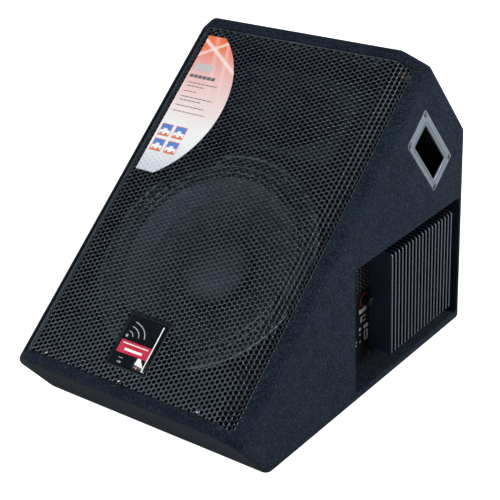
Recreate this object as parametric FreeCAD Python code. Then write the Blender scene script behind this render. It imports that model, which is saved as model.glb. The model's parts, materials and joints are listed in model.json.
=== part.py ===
"""Active floor monitor wedge: carpeted cabinet, two-way drivers and a side-mounted amplifier."""
import FreeCAD, Part
import math
import os

os.makedirs("parts", exist_ok=True)
V = FreeCAD.Vector

# ---- driving dimensions (mm) ----
width = 450.0             # over the carpet
base_depth = 565.0        # footprint, front line to back panel
baffle_tilt = 39.0        # baffle above horizontal
baffle_length = 659.0
nose_height = 100.0       # bevel under the baffle, to the side panels' front edge
proud = 36.0              # how far the middle of the front stands past the side panels
fold_half = 184.5         # half width of the flat middle of the front
foot_height = 4.0
carpet = 2.0
board = 14.0
back_board = 9.0
cornice = 3.0             # grille set back from the panel edges
sheet = 1.5

woofer_s = 262.0          # up the baffle from the nose
woofer_r = 191.0
horn_s = 541.0
horn_a = 112.0
horn_b = 66.0
baffle_h = 78.0           # front face of the baffle board above the front line
baffle_board_t = 16.0

bay_front = -9.0          # amplifier bay, clear of its lining
bay_floor = 22.0
bay_top = 240.0
bay_depth = 48.0
fin_count = 19
fin_t = 4.0
sink_front = 103.0
sink_rear = 295.0
sink_low = 39.0
sink_high = 220.0
sink_inset = 4.0
sink_base = 6.0

handle_s = 571.5          # handle centre, up the baffle
handle_h = -6.0           # and above the front line, square to the baffle
handle_plate = (70.0, 137.0)
handle_mouth = (38.5, 97.0)
handle_cup = (52.0, 110.0)
handle_depth = 52.0
handle_metal = 2.5

# ---- derived ----
half = width / 2
overall_depth = base_depth + (nose_height + proud) * math.sin(math.radians(baffle_tilt))
back = overall_depth / 2
front_line = back - base_depth
back_face = back - carpet - back_board
bay_rear = back_face - carpet
floor_top = foot_height + carpet + board
inner_x = half - carpet - board
plate_out = half - bay_depth
plate_in = plate_out - 2.0
LEAN = FreeCAD.Placement(V(0, front_line, foot_height), FreeCAD.Rotation(V(1, 0, 0), baffle_tilt))


# ---- helpers ----
def box(x0, x1, y0, y1, z0, z1):
    return Part.makeBox(x1 - x0, y1 - y0, z1 - z0, V(x0, y0, z0))


def rod(radius, start, axis, length):
    return Part.makeCylinder(radius, length, V(*start), V(*axis))


def lean(shape):
    """Move a shape drawn in the baffle's frame (x, up the baffle, out of it) to the cabinet's."""
    moved = shape.copy()
    moved.Placement = LEAN.multiply(moved.Placement)
    return moved


def ring(r_out, r_in, h0, h1, centre_s):
    outer = rod(r_out, (0, centre_s, h0), (0, 0, 1), h1 - h0)
    return outer.cut(rod(r_in, (0, centre_s, h0 - 1), (0, 0, 1), h1 - h0 + 2))


def polygon_face(points):
    wire = Part.makePolygon([V(*p) for p in points + points[:1]])
    return Part.Face(wire)


def turned(profile, centre_s):
    """Revolve (radius, height) points about an axis square to the baffle."""
    face = polygon_face([(r, 0, h) for r, h in profile])
    solid = face.revolve(V(0, 0, 0), V(0, 0, 1), 360)
    solid.translate(V(0, centre_s, 0))
    return solid


def front_prism(inset, s0, s1):
    """The cabinet's plan along the baffle: a box with both front corners folded off."""
    lean_angle = math.atan2(proud, half - fold_half)
    fold = fold_half - inset * math.tan(lean_angle / 2)
    edge = half - inset
    crest = nose_height + proud - inset
    shoulder = nose_height - inset * math.tan((math.pi / 2 - lean_angle) / 2)
    low = -600.0
    outline = [(-edge, s0, low), (edge, s0, low), (edge, s0, shoulder), (fold, s0, crest),
               (-fold, s0, crest), (-edge, s0, shoulder)]
    return polygon_face(outline).extrude(V(0, s1 - s0, 0))


def cabinet_solid(inset):
    prism = lean(front_prism(inset, inset, baffle_length - inset))
    room = box(-half, half, -600, back - inset, foot_height + inset, 900)
    return prism.common(room)


def rounded_slab(x0, x1, s_mid, h_mid, size, radius):
    """A slab square to X with rounded corners, in the baffle's frame."""
    slab = box(x0, x1, s_mid - size[0] / 2, s_mid + size[0] / 2,
               h_mid - size[1] / 2, h_mid + size[1] / 2)
    edges = [e for e in slab.Edges if abs(e.tangentAt(e.FirstParameter).x) > 0.9]
    return slab.makeFillet(radius, edges)


def compound(shapes):
    return Part.makeCompound(shapes)


# ---- cabinet boards ----
OUTER = cabinet_solid(0)
CORE = cabinet_solid(carpet)
bay_cut = box(plate_out - 2, half + 10, bay_front - carpet, bay_rear + carpet,
              bay_floor - carpet, bay_top + carpet)


def handle_hole(side):
    x0, x1 = sorted((side * (inner_x - 1), side * (half + 5)))
    hole = (handle_cup[0] + 5, handle_cup[1] + 5)
    return lean(rounded_slab(x0, x1, handle_s, handle_h, hole, 12))


def side_panel(side):
    x0, x1 = sorted((side * inner_x, side * (half - carpet)))
    panel = CORE.common(box(x0, x1, -600, 600, 0, 900)).cut(handle_hole(side))
    return panel.cut(bay_cut) if side > 0 else panel


def nose_panel():
    return CORE.common(lean(box(-inner_x, inner_x, 0, carpet + board, -300, 300)))


def floor_panel():
    slab = CORE.common(box(-inner_x, inner_x, -600, back_face, 0, floor_top))
    return slab.cut(nose_panel())


def top_panel():
    low = baffle_length - carpet - board
    slab = lean(box(-inner_x, inner_x, low, baffle_length, -600, 300))
    return CORE.common(slab)


def back_panel():
    slab = CORE.common(box(-inner_x, inner_x, back_face, back, 0, 900))
    return slab.cut(top_panel())


def horn_ellipse(a, b, h):
    curve = Part.Ellipse(V(0, horn_s, h), a, b)
    return Part.Wire(curve.toShape())


def baffle_board():
    s0 = carpet + board
    slab = box(-inner_x, inner_x, s0, baffle_length - s0, baffle_h - baffle_board_t, baffle_h)
    slab = slab.cut(rod(woofer_r - 12, (0, woofer_s, 0), (0, 0, 1), 200))
    hole = Part.Face(horn_ellipse(horn_a + 6, horn_b + 5, 0)).extrude(V(0, 0, 200))
    return lean(slab.cut(hole))


batten_top_h = nose_height + proud - cornice - sheet


def grille_batten(s0, s1):
    return lean(box(-168, 168, s0, s1, baffle_h, batten_top_h))


def grille_battens_side():
    s0 = carpet + board + 21
    s1 = baffle_length - carpet - board - 23
    parts = [box(side * 202 - 7, side * 202 + 7, s0, s1, baffle_h, 109) for side in (-1, 1)]
    return compound([lean(p) for p in parts])


def amp_bay_front_wall():
    return box(plate_in - 12, inner_x, bay_front - carpet - 12, bay_front - carpet,
               floor_top, bay_top + carpet + 12)


def amp_bay_top_wall():
    return box(plate_in - 12, inner_x, bay_front - carpet, back_face,
               bay_top + carpet, bay_top + carpet + 12)


def amp_mount_frame():
    y0 = bay_front - carpet
    y1 = back_face
    z0 = floor_top
    z1 = bay_top + carpet
    frame = box(plate_in - 12, plate_in, y0, y1, z0, z1)
    return frame.cut(box(plate_in - 13, plate_in + 1, y0 + 12, y1 - 12, z0 + 12, z1 - 12))


# ---- carpet ----
def carpet_side(side):
    x0, x1 = sorted((side * (half - carpet), side * half))
    skin = OUTER.common(box(x0, x1, -600, 600, 0, 900))
    size = (handle_plate[0], handle_plate[1])
    skin = skin.cut(lean(rounded_slab(x0 - 5, x1 + 5, handle_s, handle_h, size, 4)))
    return skin.cut(bay_cut) if side > 0 else skin


def carpet_wrap():
    skin = OUTER.common(box(carpet - half, half - carpet, -600, 600, 0, 900)).cut(CORE)
    s0 = carpet + board
    mouth = lean(box(-inner_x, inner_x, s0, baffle_length - s0, baffle_h, 300))
    return skin.cut(mouth)


def carpet_bay_lining():
    outer = box(plate_in, half, bay_front - carpet, bay_rear + carpet,
                bay_floor - carpet, bay_top + carpet)
    return outer.cut(box(plate_in - 1, half + 1, bay_front, bay_rear, bay_floor, bay_top))


# ---- grille, badge and sticker ----
badge_s = 87.0
badge_face = nose_height + proud - cornice + 0.6


def grille():
    s0 = carpet * 2 + board + 0.5
    s1 = baffle_length - s0
    folded = front_prism(cornice, s0, s1).cut(front_prism(cornice + sheet, s0 - 1, s1 + 1))
    edge = inner_x - 2
    folded = folded.common(box(-edge, edge, s0, s1, 103, 200))
    return lean(folded.cut(box(-38, 38, badge_s - 43, badge_s + 43, 0, 200)))


def screw(x, s, face, radius, length, head):
    """A pan-head screw standing on a face, its shank going in."""
    shank = rod(radius * 0.5, (x, s, face - length), (0, 0, 1), length)
    cap = rod(radius, (x, s, face), (0, 0, 1), head)
    rim = [e for e in cap.Edges if e.BoundBox.ZMin > face + head - 0.01]
    return shank.fuse(cap.makeFillet(head * 0.45, rim))


def with_holes(shape, places, radius, h0, h1):
    for x, s in places:
        shape = shape.cut(rod(radius, (x, s, h0), (0, 0, 1), h1 - h0))
    return shape


grille_screw_places = [(x, s) for x in (-151, 0, 151) for s in (26, baffle_length - 27)]


def grille_screws():
    face = nose_height + proud - cornice
    return compound([lean(screw(x, s, face, 4.5, 16, 2.2)) for x, s in grille_screw_places])


def badge_tray():
    outer = box(-37.5, 37.5, badge_s - 42.5, badge_s + 42.5, 124, 133)
    return lean(outer.cut(box(-36, 36, badge_s - 41, badge_s + 41, 126, 140)))


def badge_plate():
    slab = box(-34.5, 34.5, badge_s - 40, badge_s + 40, 126, badge_face)
    upright = [e for e in slab.Edges if abs(e.tangentAt(e.FirstParameter).z) > 0.9]
    return lean(slab.makeFillet(1.5, upright))


def sticker():
    face = nose_height + proud - cornice
    corners = [V(-138, 359.5, face), V(-175, 359.5, face), V(-175, 624.5, face), V(-139, 624.5, face)]
    edges = [Part.makeLine(corners[i], corners[i + 1]) for i in range(3)]
    bulge = Part.Arc(corners[3], V(-73, 497, face), corners[0]).toShape()
    return lean(Part.Face(Part.Wire(edges + [bulge])).extrude(V(0, 0, 0.2)))


# ---- woofer ----
woofer_screw_places = [(176 * math.cos(math.radians(22.5 + 45 * i)),
                        woofer_s + 176 * math.sin(math.radians(22.5 + 45 * i))) for i in range(8)]


# (the ring carries the screws; the basket hangs behind it)
def woofer_frame():
    rim = ring(woofer_r, 166, baffle_h, baffle_h + 6, woofer_s)
    lip = ring(178, 166, baffle_h - 8, baffle_h, woofer_s)
    wall = turned([(173, 72), (178, 72), (100, -4), (100, -10), (42, -10), (42, -5), (95, -5)], woofer_s)
    for i in range(6):
        window = box(70, 200, -26, 26, 6, 56)
        window.rotate(V(0, 0, 0), V(0, 0, 1), 60 * i)
        window.translate(V(0, woofer_s, 0))
        wall = wall.cut(window)
    frame = rim.fuse([lip, wall])
    return lean(with_holes(frame, woofer_screw_places, 2.75, 60, 90))


def woofer_gasket():
    pad = ring(woofer_r - 1, 181, baffle_h + 6, baffle_h + 10, woofer_s)
    return lean(pad)


def woofer_screws():
    return compound([lean(screw(x, s, baffle_h + 6, 4.5, 24, 3.5)) for x, s in woofer_screw_places])


def woofer_surround():
    """A half-round rubber roll between the frame's step and the cone's edge."""
    roll_r = 9.0
    mid = 157.0
    seat = baffle_h + 6
    skin = 1.2
    angles = [math.radians(a) for a in range(15, 180, 15)]
    over = [(mid + roll_r * math.cos(a), seat + 1.2 + roll_r * math.sin(a)) for a in angles]
    under = [(mid + (roll_r - skin) * math.cos(a), seat + (roll_r - skin) * math.sin(a))
             for a in reversed(angles)]
    rim = [(171, seat), (171, seat + skin), (mid + roll_r, seat + skin)]
    flap = [(mid - roll_r, seat + skin), (mid - roll_r, seat)]
    return lean(turned(rim + over + flap + under, woofer_s))


def woofer_cone():
    steps = [i / 10 for i in range(11)]
    face = [(147.4 - 108.9 * t, 84 - 74 * (0.35 * t + 0.65 * t * t)) for t in steps]
    rear = [(r + 0.4, h - 1.6) for r, h in reversed(face)]
    return lean(turned(face + rear, woofer_s))


def dust_cap():
    steps = [i / 8 for i in range(9)]
    dome = [(62 * math.cos(math.radians(90 * t)), 45 + 18 * math.sin(math.radians(90 * t))) for t in steps]
    dome[-1] = (0, 63)
    inner = [(max(r - 1, 0), h - 1) for r, h in reversed(dome)]
    return lean(turned(dome + inner, woofer_s))


def voice_coil():
    former = ring(38.2, 37.6, -28, 9.0, woofer_s)
    winding = ring(39.2, 38.2, -28, -8, woofer_s)
    return lean(former.fuse(winding))


def woofer_spider():
    waves = [(39.0 + 55 * i / 22, 2 + (2.2 if i % 2 else 0)) for i in range(23)]
    under = [(r, h - 0.9) for r, h in reversed(waves)]
    return lean(turned(waves + under, woofer_s))


def woofer_top_plate():
    return lean(ring(78, 40.2, -18, -10, woofer_s))


def woofer_magnet():
    return lean(ring(88, 46, -40, -18, woofer_s))


def woofer_back_plate():
    plate = ring(84, 12, -50, -40, woofer_s)
    pole = ring(36.6, 12, -40, -10, woofer_s)
    return lean(plate.fuse(pole))


# ---- horn and compression driver ----
horn_sections = [(1.0, 1.0, 82), (0.80, 0.80, 66), (0.50, 0.58, 40), (0.26, 0.36, 8), (0.1134, 0.1924, -32)]


def horn_solid(extra):
    wires = [horn_ellipse(horn_a * fa + extra, horn_b * fb + extra, h) for fa, fb, h in horn_sections]
    return Part.makeLoft(wires, True, False)


horn_screw_places = [(x, horn_s + s) for x in (-116, 116) for s in (-64, 64)]


def horn_flare():
    flange = box(-124, 124, horn_s - 74, horn_s + 74, baffle_h, baffle_h + 4)
    upright = [e for e in flange.Edges if abs(e.tangentAt(e.FirstParameter).z) > 0.9]
    body = flange.makeFillet(14, upright).fuse(horn_solid(3.0).common(box(-200, 200, 300, 700, -32, 81)))
    body = body.fuse(ring(30, 14, -36, -30, horn_s)).cut(horn_solid(0))
    return lean(with_holes(body, horn_screw_places, 2.3, 70, 90))


def horn_screws():
    return compound([lean(screw(x, s, baffle_h + 4, 4, 18, 3)) for x, s in horn_screw_places])


def compression_driver():
    body = turned([(13, -36), (32, -36), (46, -44), (46, -72), (42, -76), (0, -76), (0, -70), (13, -66)], horn_s)
    return lean(body)


def driver_rear_cap():
    return lean(turned([(0, -76), (38, -76), (38, -84), (34, -88), (0, -88)], horn_s))


# ---- handles ----
handle_screw_offsets = [(a, b) for a in (-29, 29) for b in (-62, 62)]


def handle_plate_on(side):
    x0 = half - carpet
    plate = rounded_slab(x0, x0 + handle_metal, handle_s, handle_h, handle_plate, 4)
    mouth = rounded_slab(x0 - 1, x0 + handle_metal + 1, handle_s, handle_h, handle_mouth, 3.5)
    lip_size = (handle_mouth[0] + 6, handle_mouth[1] + 6)
    lip = rounded_slab(x0 + handle_metal - 1, x0 + handle_metal + 1, handle_s, handle_h, lip_size, 6)
    plate = plate.cut(mouth).cut(lip)
    for a, b in handle_screw_offsets:
        plate = plate.cut(rod(2.2, (x0 - 1, handle_s + a, handle_h + b), (1, 0, 0), 6))
    return lean(mirrored(plate, side))


def mirrored(shape, side):
    return shape if side > 0 else shape.mirror(V(0, 0, 0), V(1, 0, 0))


def handle_cup_on(side):
    x1 = half - carpet
    outer_size = (handle_cup[0] + 4, handle_cup[1] + 4)
    outer = rounded_slab(x1 - handle_depth, x1, handle_s, handle_h, outer_size, 12)
    inner = rounded_slab(x1 - handle_depth + 2, x1 + 1, handle_s, handle_h, handle_cup, 10)
    return lean(mirrored(outer.cut(inner), side))


def side_screw(x_face, y, z, radius, length, head):
    shank = rod(radius * 0.5, (x_face - length, y, z), (1, 0, 0), length)
    cap = rod(radius, (x_face, y, z), (1, 0, 0), head)
    rim = [e for e in cap.Edges if e.BoundBox.XMin > x_face + head - 0.01]
    return shank.fuse(cap.makeFillet(head * 0.45, rim))


def handle_screws():
    x_face = half - carpet + handle_metal
    screws = []
    for a, b in handle_screw_offsets:
        one = side_screw(x_face, handle_s + a, handle_h + b, 3.8, 12, 1.0)
        screws += [lean(mirrored(one, side)) for side in (1, -1)]
    return compound(screws)


# ---- amplifier ----
column = 16.0             # sockets, one above another
level_place = (88.0, 134.0)
treble_place = (6.0, 139.0)
bass_place = (27.0, 139.0)
button_place = (column, 117.0)
input_place = (column, 207.0)
link_place = (column, 170.0)
rocker_place = (column, 92.0)
inlet_place = (column, 56.0)
amp_screw_places = [(y, z) for z in (28.5, 233.5) for y in (-3, 101, 205, 306)]


def amp_chassis_plate():
    plate = box(plate_in, plate_out, bay_front + 0.5, bay_rear - 0.5, bay_floor + 0.5, bay_top - 0.5)
    holes = [(input_place, 11.5), (link_place, 5.5), (level_place, 3.4), (treble_place, 3.4),
             (bass_place, 3.4), (button_place, 3.4)]
    holes += [(place, 1.8) for place in amp_screw_places]
    for (y, z), r in holes:
        plate = plate.cut(rod(r, (plate_in - 1, y, z), (1, 0, 0), 4))
    y, z = rocker_place
    plate = plate.cut(box(plate_in - 1, plate_out + 1, y - 7, y + 7, z - 11.5, z + 11.5))
    y, z = inlet_place
    return plate.cut(box(plate_in - 1, plate_out + 1, y - 14, y + 14, z - 17, z + 10))


def heatsink():
    tip = half - sink_inset
    base = box(plate_out, plate_out + sink_base, sink_front, sink_rear, sink_low, sink_high)
    pitch = (sink_rear - sink_front - fin_t) / (fin_count - 1)
    fins = []
    for i in range(fin_count):
        y0 = sink_front + i * pitch
        fin = box(plate_out + sink_base, tip, y0, y0 + fin_t, sink_low, sink_high)
        corner = [e for e in fin.Edges if e.BoundBox.XMin > tip - 0.01 and e.BoundBox.ZMin > sink_high - 0.01]
        fins.append(fin.makeFillet(6, corner))
    return base.fuse(fins)


def amp_screws():
    return compound([side_screw(plate_out, y, z, 3.5, 12, 2) for y, z in amp_screw_places])


def knob(place, radius, height):
    y, z = place
    x0 = plate_out + 1.2
    cap = rod(radius, (x0, y, z), (1, 0, 0), height)
    rim = [e for e in cap.Edges if e.BoundBox.XMin > x0 + height - 0.01]
    cap = cap.makeFillet(1.2, rim)
    pointer = box(x0 + height - 1, x0 + height + 1, y - 0.6, y + 0.6, z, z + radius + 1)
    cap = cap.cut(pointer)
    return cap.fuse(rod(3, (plate_in - 10, y, z), (1, 0, 0), 14))


def level_ring():
    y, z = level_place
    outer = rod(13, (plate_out, y, z), (1, 0, 0), 2.5)
    return outer.cut(rod(10.5, (plate_out - 1, y, z), (1, 0, 0), 5))


def line_button():
    y, z = button_place
    return rod(3, (plate_in - 4, y, z), (1, 0, 0), 10)


def input_socket():
    """A round well for the plug's nose, in a square flange, with a pocket for the latch."""
    y, z = input_place
    flange = box(plate_out, plate_out + 4, y - 13, y + 13, z - 14, z + 17)
    body = flange.fuse(rod(11.2, (plate_in - 18, y, z), (1, 0, 0), 22))
    body = body.cut(rod(9.6, (plate_out - 12, y, z), (1, 0, 0), 20))
    for i in range(3):
        a = math.radians(90 + 120 * i)
        body = body.cut(rod(1.3, (plate_out - 18, y + 5 * math.cos(a), z + 5 * math.sin(a)), (1, 0, 0), 8))
    return body.cut(box(plate_out + 1.3, plate_out + 6, y - 4.4, y + 4.4, z + 10.8, z + 15.8))


def input_latch():
    y, z = input_place
    return box(plate_out + 3.0, plate_out + 6.5, y - 4, y + 4, z + 11.2, z + 15.4)


def link_jack():
    y, z = link_place
    body = rod(10, (plate_out, y, z), (1, 0, 0), 2.5).fuse(rod(5.2, (plate_in - 20, y, z), (1, 0, 0), 24))
    body = body.fuse(box(plate_in - 22, plate_in, y - 7.5, y + 7.5, z - 7.5, z + 7.5))
    return body.cut(rod(3.25, (plate_out + 2.5 - 22, y, z), (1, 0, 0), 30))


def mains_inlet():
    """A recessed three-blade inlet over a fuse drawer."""
    y, z = inlet_place
    flange = box(plate_out, plate_out + 3, y - 17, y + 17, z - 20, z + 13)
    body = flange.fuse(box(plate_in - 18, plate_out, y - 13.7, y + 13.7, z - 16.7, z + 9.7))
    body = body.cut(box(plate_out - 13, plate_out + 5, y - 12, y + 12, z - 8, z + 8.2))
    for dy, dz in ((-7, 2), (0, 5), (7, 2)):
        body = body.fuse(box(plate_out - 13, plate_out - 1, y + dy - 1, y + dy + 1, z + dz - 2, z + dz + 2))
    return body.cut(box(plate_out - 14, plate_out + 5, y - 10.4, y + 10.4, z - 15.4, z - 9.6))


def fuse_drawer():
    y, z = inlet_place
    tray = box(plate_out - 13, plate_out + 2.5, y - 10, y + 10, z - 15, z - 10)
    return tray.cut(box(plate_out - 11, plate_out - 1, y - 8, y + 8, z - 13.5, z - 9))


def switch_bezel():
    y, z = rocker_place
    rim = box(plate_out, plate_out + 1.6, y - 9, y + 9, z - 13.5, z + 13.5)
    body = rim.fuse(box(plate_in - 14, plate_out, y - 6.7, y + 6.7, z - 11.2, z + 11.2))
    return body.cut(box(plate_in - 13, plate_out + 5, y - 5.5, y + 5.5, z - 10.4, z + 10.4))


def power_rocker():
    """A shallow V on a round body, resting with its lower half pressed in."""
    y, z = rocker_place
    pivot = plate_out - 3
    body = rod(10, (pivot, y - 5.1, z), (0, 1, 0), 10.2).common(box(pivot - 4, pivot + 12, y - 9, y + 9, z - 12, z + 12))
    for sign in (-1, 1):
        shave = box(pivot + 5.5, pivot + 20, y - 9, y + 9, 0, 30)
        shave.translate(V(0, 0, z))
        shave.rotate(V(pivot + 5.5, y, z), V(0, 1, 0), 10)
        if sign < 0:
            shave = shave.mirror(V(pivot, y, z), V(0, 0, 1))
        body = body.cut(shave)
    body.rotate(V(pivot, y, z), V(0, 1, 0), 10)
    return body


def amp_circuit_board():
    return box(plate_in - 26, plate_in - 24.4, 108, 290, 44, 215)


def mains_transformer():
    coil = rod(42, (plate_in - 80, 160, 100), (1, 0, 0), 50)
    return coil.cut(rod(13, (plate_in - 81, 160, 100), (1, 0, 0), 52))


# ---- feet ----
def rubber_feet():
    feet = []
    for x in (-175, 175):
        for y in (front_line + 35, back - 40):
            pad = Part.makeCone(16, 18, foot_height + carpet, V(x, y, 0), V(0, 0, 1))
            feet.append(pad)
    return compound(feet)


def foot_pockets(shape):
    return shape.cut(rubber_feet())


PARTS = {
    "side_panel_right": side_panel(1),
    "side_panel_left": side_panel(-1),
    "floor_panel": floor_panel(),
    "back_panel": back_panel(),
    "top_panel": top_panel(),
    "nose_panel": nose_panel(),
    "baffle_board": baffle_board(),
    "amp_bay_front_wall": amp_bay_front_wall(),
    "amp_bay_top_wall": amp_bay_top_wall(),
    "amp_mount_frame": amp_mount_frame(),
    "grille_batten_top": grille_batten(baffle_length - carpet - board - 22, baffle_length - carpet - board),
    "grille_batten_bottom": grille_batten(carpet + board, carpet + board + 20),
    "grille_battens_side": grille_battens_side(),
    "carpet_wrap": foot_pockets(carpet_wrap()),
    "carpet_side_right": carpet_side(1),
    "carpet_side_left": carpet_side(-1),
    "carpet_bay_lining": carpet_bay_lining(),
    "grille": grille(),
    "grille_screws": grille_screws(),
    "badge_tray": badge_tray(),
    "badge_plate": badge_plate(),
    "sticker": sticker(),
    "woofer_frame": woofer_frame(),
    "woofer_gasket": woofer_gasket(),
    "woofer_surround": woofer_surround(),
    "woofer_cone": woofer_cone(),
    "dust_cap": dust_cap(),
    "voice_coil": voice_coil(),
    "woofer_spider": woofer_spider(),
    "woofer_top_plate": woofer_top_plate(),
    "woofer_magnet": woofer_magnet(),
    "woofer_back_plate": woofer_back_plate(),
    "woofer_screws": woofer_screws(),
    "horn_flare": horn_flare(),
    "horn_screws": horn_screws(),
    "compression_driver": compression_driver(),
    "driver_rear_cap": driver_rear_cap(),
    "handle_plate_right": handle_plate_on(1),
    "handle_plate_left": handle_plate_on(-1),
    "handle_cup_right": handle_cup_on(1),
    "handle_cup_left": handle_cup_on(-1),
    "handle_screws": handle_screws(),
    "amp_chassis_plate": amp_chassis_plate(),
    "heatsink": heatsink(),
    "amp_screws": amp_screws(),
    "level_knob": knob(level_place, 9, 14),
    "treble_knob": knob(treble_place, 7, 12),
    "bass_knob": knob(bass_place, 7, 12),
    "level_ring": level_ring(),
    "line_button": line_button(),
    "input_socket": input_socket(),
    "input_latch": input_latch(),
    "link_jack": link_jack(),
    "mains_inlet": mains_inlet(),
    "fuse_drawer": fuse_drawer(),
    "switch_bezel": switch_bezel(),
    "power_rocker": power_rocker(),
    "amp_circuit_board": amp_circuit_board(),
    "mains_transformer": mains_transformer(),
    "rubber_feet": rubber_feet(),
}

for name, shape in PARTS.items():
    shape.exportStep("parts/" + name + ".step")
    kinds = "solids=%d valid=%s vol=%.1f" % (len(shape.Solids), shape.isValid(), shape.Volume / 1000)
    print(name, kinds)
print(len(PARTS), "parts")
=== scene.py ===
"""The looks of an active floor monitor wedge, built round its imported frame."""
import json
import math

import bmesh
import bpy
from mathutils import Matrix, Vector


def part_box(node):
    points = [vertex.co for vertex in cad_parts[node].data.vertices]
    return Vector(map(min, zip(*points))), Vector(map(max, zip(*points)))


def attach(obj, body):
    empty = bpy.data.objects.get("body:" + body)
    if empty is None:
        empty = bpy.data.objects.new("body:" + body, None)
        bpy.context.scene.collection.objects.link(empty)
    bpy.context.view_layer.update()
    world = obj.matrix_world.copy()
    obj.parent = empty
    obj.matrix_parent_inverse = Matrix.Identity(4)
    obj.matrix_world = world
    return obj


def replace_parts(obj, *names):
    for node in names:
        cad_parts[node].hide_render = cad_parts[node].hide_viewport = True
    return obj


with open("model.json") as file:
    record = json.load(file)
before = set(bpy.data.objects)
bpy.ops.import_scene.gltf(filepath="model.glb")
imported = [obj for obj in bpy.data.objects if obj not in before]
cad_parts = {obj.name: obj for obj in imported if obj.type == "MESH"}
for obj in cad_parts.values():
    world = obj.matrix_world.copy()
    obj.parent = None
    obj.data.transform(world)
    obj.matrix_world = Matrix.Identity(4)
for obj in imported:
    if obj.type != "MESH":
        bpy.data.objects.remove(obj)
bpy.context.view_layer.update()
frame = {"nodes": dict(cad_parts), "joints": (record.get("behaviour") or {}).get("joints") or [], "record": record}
NODES = frame["nodes"]
MM = 0.001


# ---- the baffle's own frame: across, up the baffle, out of it ----
OUT = Vector(next(j for j in frame["joints"] if j["name"] == "cone_travel")["axis"]).normalized()
UP = Vector((0.0, OUT.z, -OUT.y))
ACROSS = Vector((1.0, 0.0, 0.0))


def lean(x, s, h):
    return ACROSS * x + UP * s + OUT * h


def lean_points(node):
    return [Vector((v.co.x, v.co.dot(UP), v.co.dot(OUT))) for v in NODES[node].data.vertices]


def span(points):
    low = Vector([min(p[i] for p in points) for i in range(3)])
    high = Vector([max(p[i] for p in points) for i in range(3)])
    return low, high


def lean_box(node):
    return span(lean_points(node))


def crest_half(node):
    """Half the width of the flat middle of a piece that is folded at both sides."""
    points = lean_points(node)
    top = max(p.z for p in points)
    return max(abs(p.x) for p in points if p.z > top - 0.01 * MM)


# ---- shader nodes ----
def plug(tree, socket, value):
    """Fill a socket with another node's output or with a plain value."""
    if isinstance(value, bpy.types.NodeSocket):
        tree.links.new(value, socket)
    else:
        socket.default_value = value


def wire(tree, kind, inputs=None, **settings):
    """Add a node, set its options, and fill its sockets."""
    node = tree.nodes.new(kind)
    for key, value in settings.items():
        setattr(node, key, value)
    for key, value in (inputs or {}).items():
        plug(tree, node.inputs[key], value)
    return node


def math_node(tree, operation, *values):
    return wire(tree, "ShaderNodeMath", dict(enumerate(values)), operation=operation).outputs[0]


def vector_math(tree, operation, a, b=None):
    """Vector arithmetic: dot product and length give a number, the rest give a vector."""
    inputs = {0: a}
    if b is not None:
        inputs[3 if operation == "SCALE" else 1] = b
    gives = "Value" if operation in ("DOT_PRODUCT", "LENGTH") else 0
    return wire(tree, "ShaderNodeVectorMath", inputs, operation=operation).outputs[gives]


def map_range(tree, value, low, high, to_low=0.0, to_high=1.0):
    names = {"Value": value, "From Min": low, "From Max": high, "To Min": to_low, "To Max": to_high}
    return wire(tree, "ShaderNodeMapRange", names, clamp=True).outputs[0]


def mix_colour(tree, factor, a, b):
    """Blend two colours, each a plain triple or another node's output."""
    inputs = {0: factor}
    for index, colour in ((6, a), (7, b)):
        plain = isinstance(colour, (tuple, list))
        inputs[index] = (*colour, 1.0) if plain else colour
    return wire(tree, "ShaderNodeMix", inputs, data_type="RGBA").outputs[2]


def noise(tree, vector, scale, detail=2.0, rough=0.5):
    names = {"Vector": vector, "Scale": scale, "Detail": detail, "Roughness": rough}
    return wire(tree, "ShaderNodeTexNoise", names).outputs[0]


def stretched(tree, vector, x, y, z):
    return vector_math(tree, "MULTIPLY", vector, (x, y, z))


def shader_group(name, inputs, outputs, fill):
    """A node group with named float or vector inputs and float outputs, filled once."""
    tree = bpy.data.node_groups.new(name, "ShaderNodeTree")
    for label, kind, value in inputs:
        socket = tree.interface.new_socket(label, in_out="INPUT", socket_type=kind)
        if value is not None:
            socket.default_value = value
    for label in outputs:
        tree.interface.new_socket(label, in_out="OUTPUT", socket_type="NodeSocketFloat")
    start = tree.nodes.new("NodeGroupInput")
    end = tree.nodes.new("NodeGroupOutput")
    for label, result in fill(tree, start.outputs).items():
        tree.links.new(result, end.inputs[label])
    return tree


def fill_felt(tree, given):
    """Needle-punched fibres lying two ways, lighter specks, and slow unevenness."""
    place = given["Place"]
    along = noise(tree, stretched(tree, place, 1.0, 1.0, 0.4), given["Fibre"], 4.0, 0.75)
    over = noise(tree, stretched(tree, place, 0.4, 0.4, 1.2), given["Fibre"], 4.0, 0.75)
    fibres = math_node(tree, "MAXIMUM", along, over)
    specks = noise(tree, place, 420.0, 3.0, 0.7)
    mottle = noise(tree, place, 26.0, 4.0, 0.6)
    lumps = noise(tree, place, 190.0, 2.0, 0.5)
    height = math_node(tree, "MULTIPLY_ADD", lumps, 0.6, fibres)
    return {
        "Fibres": map_range(tree, fibres, 0.49, 0.69),
        "Specks": map_range(tree, specks, 0.55, 0.70),
        "Mottle": map_range(tree, mottle, 0.3, 0.7),
        "Height": height,
    }


def fill_grain(tree, given):
    """The fine pebble of moulded plastic or powder coat, with a slow change of gloss."""
    fine = noise(tree, given["Place"], given["Grain"], 2.0, 0.5)
    slow = noise(tree, given["Place"], 22.0, 3.0, 0.55)
    return {"Height": fine, "Gloss": slow}


def fill_wear(tree, given):
    """Rubbed edges: where the surface turns sharply, broken up by noise."""
    shape = wire(tree, "ShaderNodeNewGeometry").outputs["Pointiness"]
    edge = map_range(tree, shape, 0.51, 0.60)
    breaks = map_range(tree, noise(tree, given["Place"], given["Breaks"], 4.0, 0.65), 0.42, 0.62)
    return {"Edge": math_node(tree, "MULTIPLY", edge, breaks)}


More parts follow.
